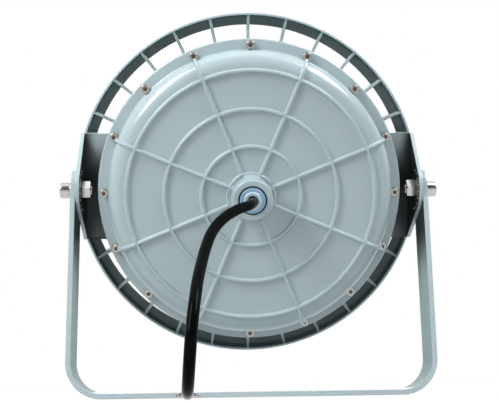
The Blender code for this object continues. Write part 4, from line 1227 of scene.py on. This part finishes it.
def ear(side, label):
    """One ear: a plate with a round nose, and a floor with two end walls."""
    hole = arc((0.0, 0.0), BOLT_HOLE, 360.0, 0.0, 48)[:-1]
    plate = rounded_plate("ear_" + label, [ear_outline(), hole], EAR_THICK)
    middle = EAR_OUTER - EAR_THICK / 2
    moved(plate, Matrix.Translation((side * middle, 0.0, 0.0)) @ TO_YZ)
    inner, outer = sorted((side * 0.8 * DRUM_RADIUS, side * middle))
    end = EAR_HALF_HEIGHT - HAIR
    wall_start = EAR_HALF_HEIGHT - EAR_WALL
    for low, high, depth in (
        (-end, end, EAR_FLOOR - EAR_WALL), (wall_start, end, EAR_BASE), (-end, -wall_start, EAR_BASE),
    ):
        wall = box("ear_wall", (inner, low, depth), (outer, high, EAR_FLOOR - HAIR), EDGE)
        combined(plate, wall, "UNION")
    moved(plate, HEAD)
    core = prism("drum_core", DRUM_RADIUS - OVERLAP, RING_FRONT - DRUM_RADIUS, DRUM_RADIUS, TURN_STEPS)
    combined(plate, moved(core, LAMP), "DIFFERENCE")
    rearward = (HEAD.to_3x3() @ UP).normalized()

    # The ear's inner face and floor, which take the painted shade and painted light
    def recessed(face):
        here = HEAD.inverted() @ face.center
        inward = -side * face.normal.x > 0.9 and abs(here.x) > EAR_INSIDE - 2 * HAIR
        floor = face.normal.dot(rearward) > 0.9 and here.z < EAR_FLOOR + 0.001
        return int(inward or (floor and abs(here.x) < EAR_INSIDE))

    dressed(plate, HOUSING_PAINT, EAR_PAINTED_SHADE_AND_LIGHT, index_of=recessed)
    piece(plate, "head", "grey_paint", "lamp_housing")


def ear_bumps(side, label):
    """Small round bumps in an arc on the ear's inner face, round the pivot bolt."""
    bm = bmesh.new()
    for number in range(BUMP_COUNT):
        spot = round_spot((0.0, 0.0), BUMP_CIRCLE, math.pi * (number + 0.5) / BUMP_COUNT)
        bmesh.ops.create_uvsphere(bm, u_segments=12, v_segments=8, radius=BUMP_RADIUS,
                                  matrix=Matrix.Translation((side * EAR_INSIDE, *spot)))
    bumps = moved(scene_object("ear_bumps_" + label, bm), HEAD)
    piece(dressed(bumps, HOUSING_PAINT), "head", "grey_paint", "lamp_housing")


drum()
guard_ring()
radial_webs()
for side, label in SIDES:
    ear(side, label)
    ear_bumps(side, label)


# Screws, bolts and nuts

def socket_screw(name, radius, length, head_radius, height, key, key_depth, steps):
    """A socket cap screw, its rounded head standing on Z = 0. An attribute marks the socket's faces."""
    screw = turned(name, filleted([
        (0.0, height, 0.0),
        (head_radius, height, head_radius / 5),
        (head_radius, 0.0, head_radius / 20),
        (radius, 0.0, 0.0),
        (radius, -length, radius / 4),
        (0.0, -length, 0.0),
    ], closed=False), steps)
    combined(screw, prism("socket", key, height - key_depth, height + 0.001, 6), "DIFFERENCE")
    shaded = screw.data.attributes.new("socket", "BOOLEAN", "FACE")
    for face in screw.data.polygons:
        sunk = 0.0 < face.center.z < height - GAP / 10
        shaded.data[face.index].value = sunk and face.center.xy.length < 1.01 * key
    return screw


def two_steels(screw, steel):
    """The steel outside, and a darker steel painted as shade down in the sockets."""
    shaded = [int(mark.value) for mark in screw.data.attributes["socket"].data]
    return dressed(screw, steel, SOCKET_PAINTED_SHADE, index_of=lambda face: shaded[face.index])


def ring_screws(name, count, radius, length, stand, node_name):
    """One screw set in its place and repeated round the lamp."""
    screw = socket_screw(name, SHANK_RADIUS, length, HEAD_RADIUS, HEAD_HEIGHT, KEY_RADIUS, KEY_DEPTH,
                         SCREW_STEPS)
    ring_of(moved(screw, stand), count, radius, STAINLESS)
    nodes = [f"{node_name}_{number:02d}" for number in range(1, count + 1)]
    lamp_piece(two_steels(screw, STAINLESS), "stainless", *nodes)


def washer(name):
    inner = BOLT_RADIUS + GAP
    return turned(name, filleted([
        (inner, WASHER_THICK, 0.0002),
        (WASHER_RADIUS, WASHER_THICK, 0.0005),
        (WASHER_RADIUS, 0.0, 0.0002),
        (inner, 0.0, 0.0002),
    ]), SMALL_STEPS)


def hex_nut(name):
    """A hexagon nut with the corners of both its faces turned off."""
    nut = prism(name, NUT_RADIUS, 0.0, NUT_HEIGHT, 6)
    flat = NUT_RADIUS * math.cos(math.pi / 6)
    turned_shape = turned("nut_dressing", [
        (BOLT_RADIUS + GAP, NUT_HEIGHT + 0.0005),
        (flat, NUT_HEIGHT + 0.0002),
        (NUT_RADIUS + 0.0003, NUT_HEIGHT - 0.0007),
        (NUT_RADIUS + 0.0003, 0.0007),
        (flat, -0.0002),
        (BOLT_RADIUS + GAP, -0.0005),
    ], SMALL_STEPS)
    return combined(nut, turned_shape, "INTERSECT")


def pivot_hardware(side, label):
    """The bolt, washer and nut of one pivot."""
    washer_seat = YOKE_INNER + BAR_THICK + GAP
    bolt_seat = YOKE_INNER + BAR_THICK + 2 * GAP + WASHER_THICK
    nut_seat = EAR_INSIDE - GAP - NUT_HEIGHT
    bolt = socket_screw("pivot_screw_" + label, BOLT_RADIUS, bolt_seat - (nut_seat - BOLT_PROUD),
                        BOLT_HEAD, BOLT_HEAD_HEIGHT, BOLT_KEY, BOLT_KEY_DEPTH, SMALL_STEPS)
    outward = Matrix.Translation(PIVOT) @ Matrix.Rotation(side * math.pi / 2, 4, "Y")
    for part, seat, slot, node_name in (
        (two_steels(bolt, BOLT_STEEL), bolt_seat, "bolt_steel", "pivot_bolt_"),
        (dressed(washer("plain_washer_" + label), WASHER_STEEL), washer_seat, "washer_steel",
         "pivot_washer_"),
        (dressed(hex_nut("hex_nut_" + label), NUT_STEEL), nut_seat, "nut_steel", "pivot_nut_"),
    ):
        moved(part, outward @ Matrix.Translation((0.0, 0.0, seat)))
        piece(part, "yoke", slot, node_name + label)


ring_screws("cover_screws", COVER_SCREWS, COVER_SCREW_CIRCLE, COVER_SCREW_LENGTH,
            Matrix.Translation((0.0, 0.0, COVER_TOP + GAP)), "cover_screw")
ring_screws("bezel_screws", BEZEL_SCREWS, BEZEL_SCREW_CIRCLE, BEZEL_SCREW_LENGTH,
            Matrix.Translation((0.0, 0.0, BEZEL_FRONT - GAP)) @ Matrix.Rotation(math.pi, 4, "X"),
            "bezel_screw")
for side, label in SIDES:
    pivot_hardware(side, label)


# Gland nut

def gland_nut():
    shoulder = GLAND_FOOT + GLAND_THREAD
    nut = turned("compression_nut", filleted([
        (PASSAGE, GLAND_MOUTH, 0.0006),
        (GLAND_CAP, GLAND_MOUTH, 0.0009),
        (GLAND_CAP, COLLAR_TOP, 0.0005),
        (GLAND_COLLAR, COLLAR_TOP, 0.0008),
        (GLAND_COLLAR, shoulder, 0.0003),
        (HUB_BORE - GAP, shoulder, 0.0003),
        (HUB_BORE - GAP, GLAND_FOOT, 0.0003),
        (PASSAGE, GLAND_FOOT, 0.0003),
    ]), SMALL_STEPS)

    # Faces of the foot, index 2, take the painted shade in the bore
    def part(face):
        if face.center.z > COLLAR_TOP + GAP:
            return 1
        return 2 if face.center.z < shoulder + 0.0005 else 0

    dressed(nut, ZINC_BLUE, ZINC_PALE, GLAND_GAP_PAINTED_SHADE, index_of=part)
    lamp_piece(nut, "zinc_blue", "gland_nut")


gland_nut()


# Window and light source

def disc(name, radius, rear, front, fillet):
    """A round plate between two heights."""
    return turned(name, filleted([
        (0.0, rear, 0.0), (radius, rear, fillet), (radius, front, fillet), (0.0, front, 0.0),
    ], closed=False))


def flat_ring(name, inner, outer, rear, front, fillet):
    """A flat ring between two heights."""
    return turned(name, filleted([
        (inner, rear, fillet), (outer, rear, fillet), (outer, front, fillet), (inner, front, fillet),
    ]))


def window():
    seat = GLASS_RADIUS + GAP
    bezel = turned("window_bezel", filleted([
        (seat, RETAINER_REAR, 0.0004),
        (seat + BEZEL_STEP, RETAINER_REAR, 0.0004),
        (seat + BEZEL_STEP, BEZEL_REAR, 0.0),
        (DRUM_RADIUS, BEZEL_REAR, 0.0003),
        (DRUM_RADIUS, BEZEL_FRONT, 0.0022),
        (WINDOW_RADIUS, BEZEL_FRONT, 0.0012),
        (WINDOW_RADIUS, LIP_REAR, 0.0003),
        (seat, LIP_REAR, 0.0),
    ]))
    lamp_piece(dressed(bezel, BEZEL_PAINT), "bezel_paint", "front_bezel")
    glass = disc("window_glass", GLASS_RADIUS, GLASS_REAR, GLASS_FRONT, 0.0005)
    lamp_piece(dressed(glass, GLASS), "glass", "front_glass")
    gasket = flat_ring("window_gasket", WINDOW_RADIUS, GLASS_RADIUS, LIP_REAR + GAP + GASKET_THICK,
                       LIP_REAR + GAP, 0.0003)
    lamp_piece(dressed(gasket, SILICONE), "silicone", "glass_gasket")
    ring = flat_ring("retaining_ring", GLASS_RADIUS - RETAINER_WIDTH, GLASS_RADIUS, RETAINER_REAR,
                     GLASS_REAR + GAP, 0.0004)
    lamp_piece(dressed(ring, WASHER_STEEL), "washer_steel", "glass_retainer")


def reflector():
    low = RETAINER_REAR + GAP
    cone = turned("reflector_cone", [
        (BOARD_RADIUS + GAP, MID_FRONT - GAP),
        (BOARD_RADIUS + GAP + REFLECTOR_WALL, MID_FRONT - GAP),
        (GLASS_RADIUS, low + REFLECTOR_WALL),
        (GLASS_RADIUS, low),
        (GLASS_RADIUS - 2 * REFLECTOR_WALL, low),
    ])
    lamp_piece(dressed(cone, POLISHED), "polished_aluminium", "reflector")


def lens(plate_front):
    """One lens: a dome with a rounded rim and a shallow dimple in its top."""
    top = plate_front - LENS_HEIGHT
    foot = plate_front + 0.0005
    rim = arc((LENS_TOP - LENS_RIM, top + LENS_RIM), LENS_RIM, 0.0, -90.0, 5)
    return turned("lens", [(LENS_RADIUS, foot), (LENS_RADIUS, plate_front - 0.001), *rim,
                           (0.002, top + 0.0002), (0.0, top + 0.0006), (0.0, foot)], SCREW_STEPS)


def light_source():
    rear = MID_FRONT - GAP
    front = rear - BOARD_THICK
    board = disc("emitter_board", BOARD_RADIUS, rear, front, 0.0002)
    lamp_piece(dressed(board, BOARD_WHITE), "board_white", "led_board")
    plate_rear = front - GAP
    plate_front = plate_rear - PLATE_THICK
    array = disc("lens_array", BOARD_RADIUS, plate_rear, plate_front, 0.0003)
    lenses, chips = [], []
    for radius, count in LENS_RINGS:
        lenses.append(ring_of(lens(plate_front), count, radius, LENS))
        chip = box("chip", (-CHIP_HALF, -CHIP_HALF, plate_rear + HAIR),
                   (CHIP_HALF, CHIP_HALF, plate_rear + HAIR + CHIP_THICK))
        chips.append(ring_of(chip, count, radius, PHOSPHOR))
    lamp_piece(dressed(joined(array, *lenses), LENS), "lens_clear", "lens_plate")
    chips = joined(*chips)
    chips.name = "phosphor_chips"
    lamp_piece(dressed(chips, PHOSPHOR), "lens_clear", "led_board")


window()
reflector()
light_source()


# Yoke

def yoke_blank():
    """The bar before bending: a strip with round ends, pivot holes and two base holes."""
    pivot = BAR_FLAT + BEND_LENGTH + PIVOT.z - YOKE_BEND - BAR_THICK
    half = BAR_WIDTH / 2
    outline = arc((pivot, 0.0), half, -90.0, 90.0, 32) + arc((-pivot, 0.0), half, 90.0, 270.0, 32)
    holes = [
        arc((place, 0.0), BOLT_HOLE, 360.0, 0.0, 48)[:-1]
        for place in (-pivot, -BASE_HOLE_PITCH / 2, BASE_HOLE_PITCH / 2, pivot)
    ]
    return rounded_plate("yoke_bar", [outline, *holes], BAR_THICK, 0.0007)


def bent(along, width, up):
    """Where a spot of the blank lies after bending; up is its height over the blank's underside."""
    side = 1.0 if along >= 0.0 else -1.0
    past = abs(along) - BAR_FLAT
    if past <= 0.0:
        return along, width, up
    radius = BEND_OUTER - up
    if past < BEND_LENGTH:
        angle = past / BEND_MIDDLE
        return side * (BAR_FLAT + radius * math.sin(angle)), width, BEND_OUTER - radius * math.cos(angle)
    return side * (BAR_FLAT + BEND_OUTER - up), width, BEND_OUTER + past - BEND_LENGTH


def yoke():
    """The blank, bent up at both ends, with painted shade on its arms' inner faces."""
    bar = yoke_blank()
    bm = opened(bar)
    for side in (-1, 1):
        for station in range(BEND_STATIONS + 1):
            place = side * (BAR_FLAT + BEND_LENGTH * station / BEND_STATIONS)
            sliced(bm, (place, 0.0, 0.0), (1.0, 0.0, 0.0))
    for vert in bm.verts:
        along, width, height = vert.co
        vert.co = bent(along, width, height + BAR_THICK / 2)
    put_back(bm, bar)

    # Inner faces of the arms, which take the painted shade
    def inner(face):
        way = face.normal
        return int(way.x * face.center.x < 0.0 and abs(way.x) > 0.3 and abs(way.y) < 0.3)

    dressed(bar, YOKE_PAINT, YOKE_INSIDE_PAINTED_SHADE, index_of=inner)
    piece(bar, "yoke", "yoke_paint", "yoke")


yoke()


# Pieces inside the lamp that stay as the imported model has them

for name, material in (
    ("cable_entry", CABLE_BLACK),
    ("gland_seal", SEAL_RUBBER),
    ("gland_washer", WASHER_STEEL),
    ("cover_gasket", SEAL_RUBBER),
    ("led_driver", DRIVER_CASE),
    ("terminal_block", TERMINAL_PLASTIC),
    ("driver_screw_01", WASHER_STEEL),
    ("driver_screw_02", WASHER_STEEL),
):
    dressed(frame["nodes"][name], material)
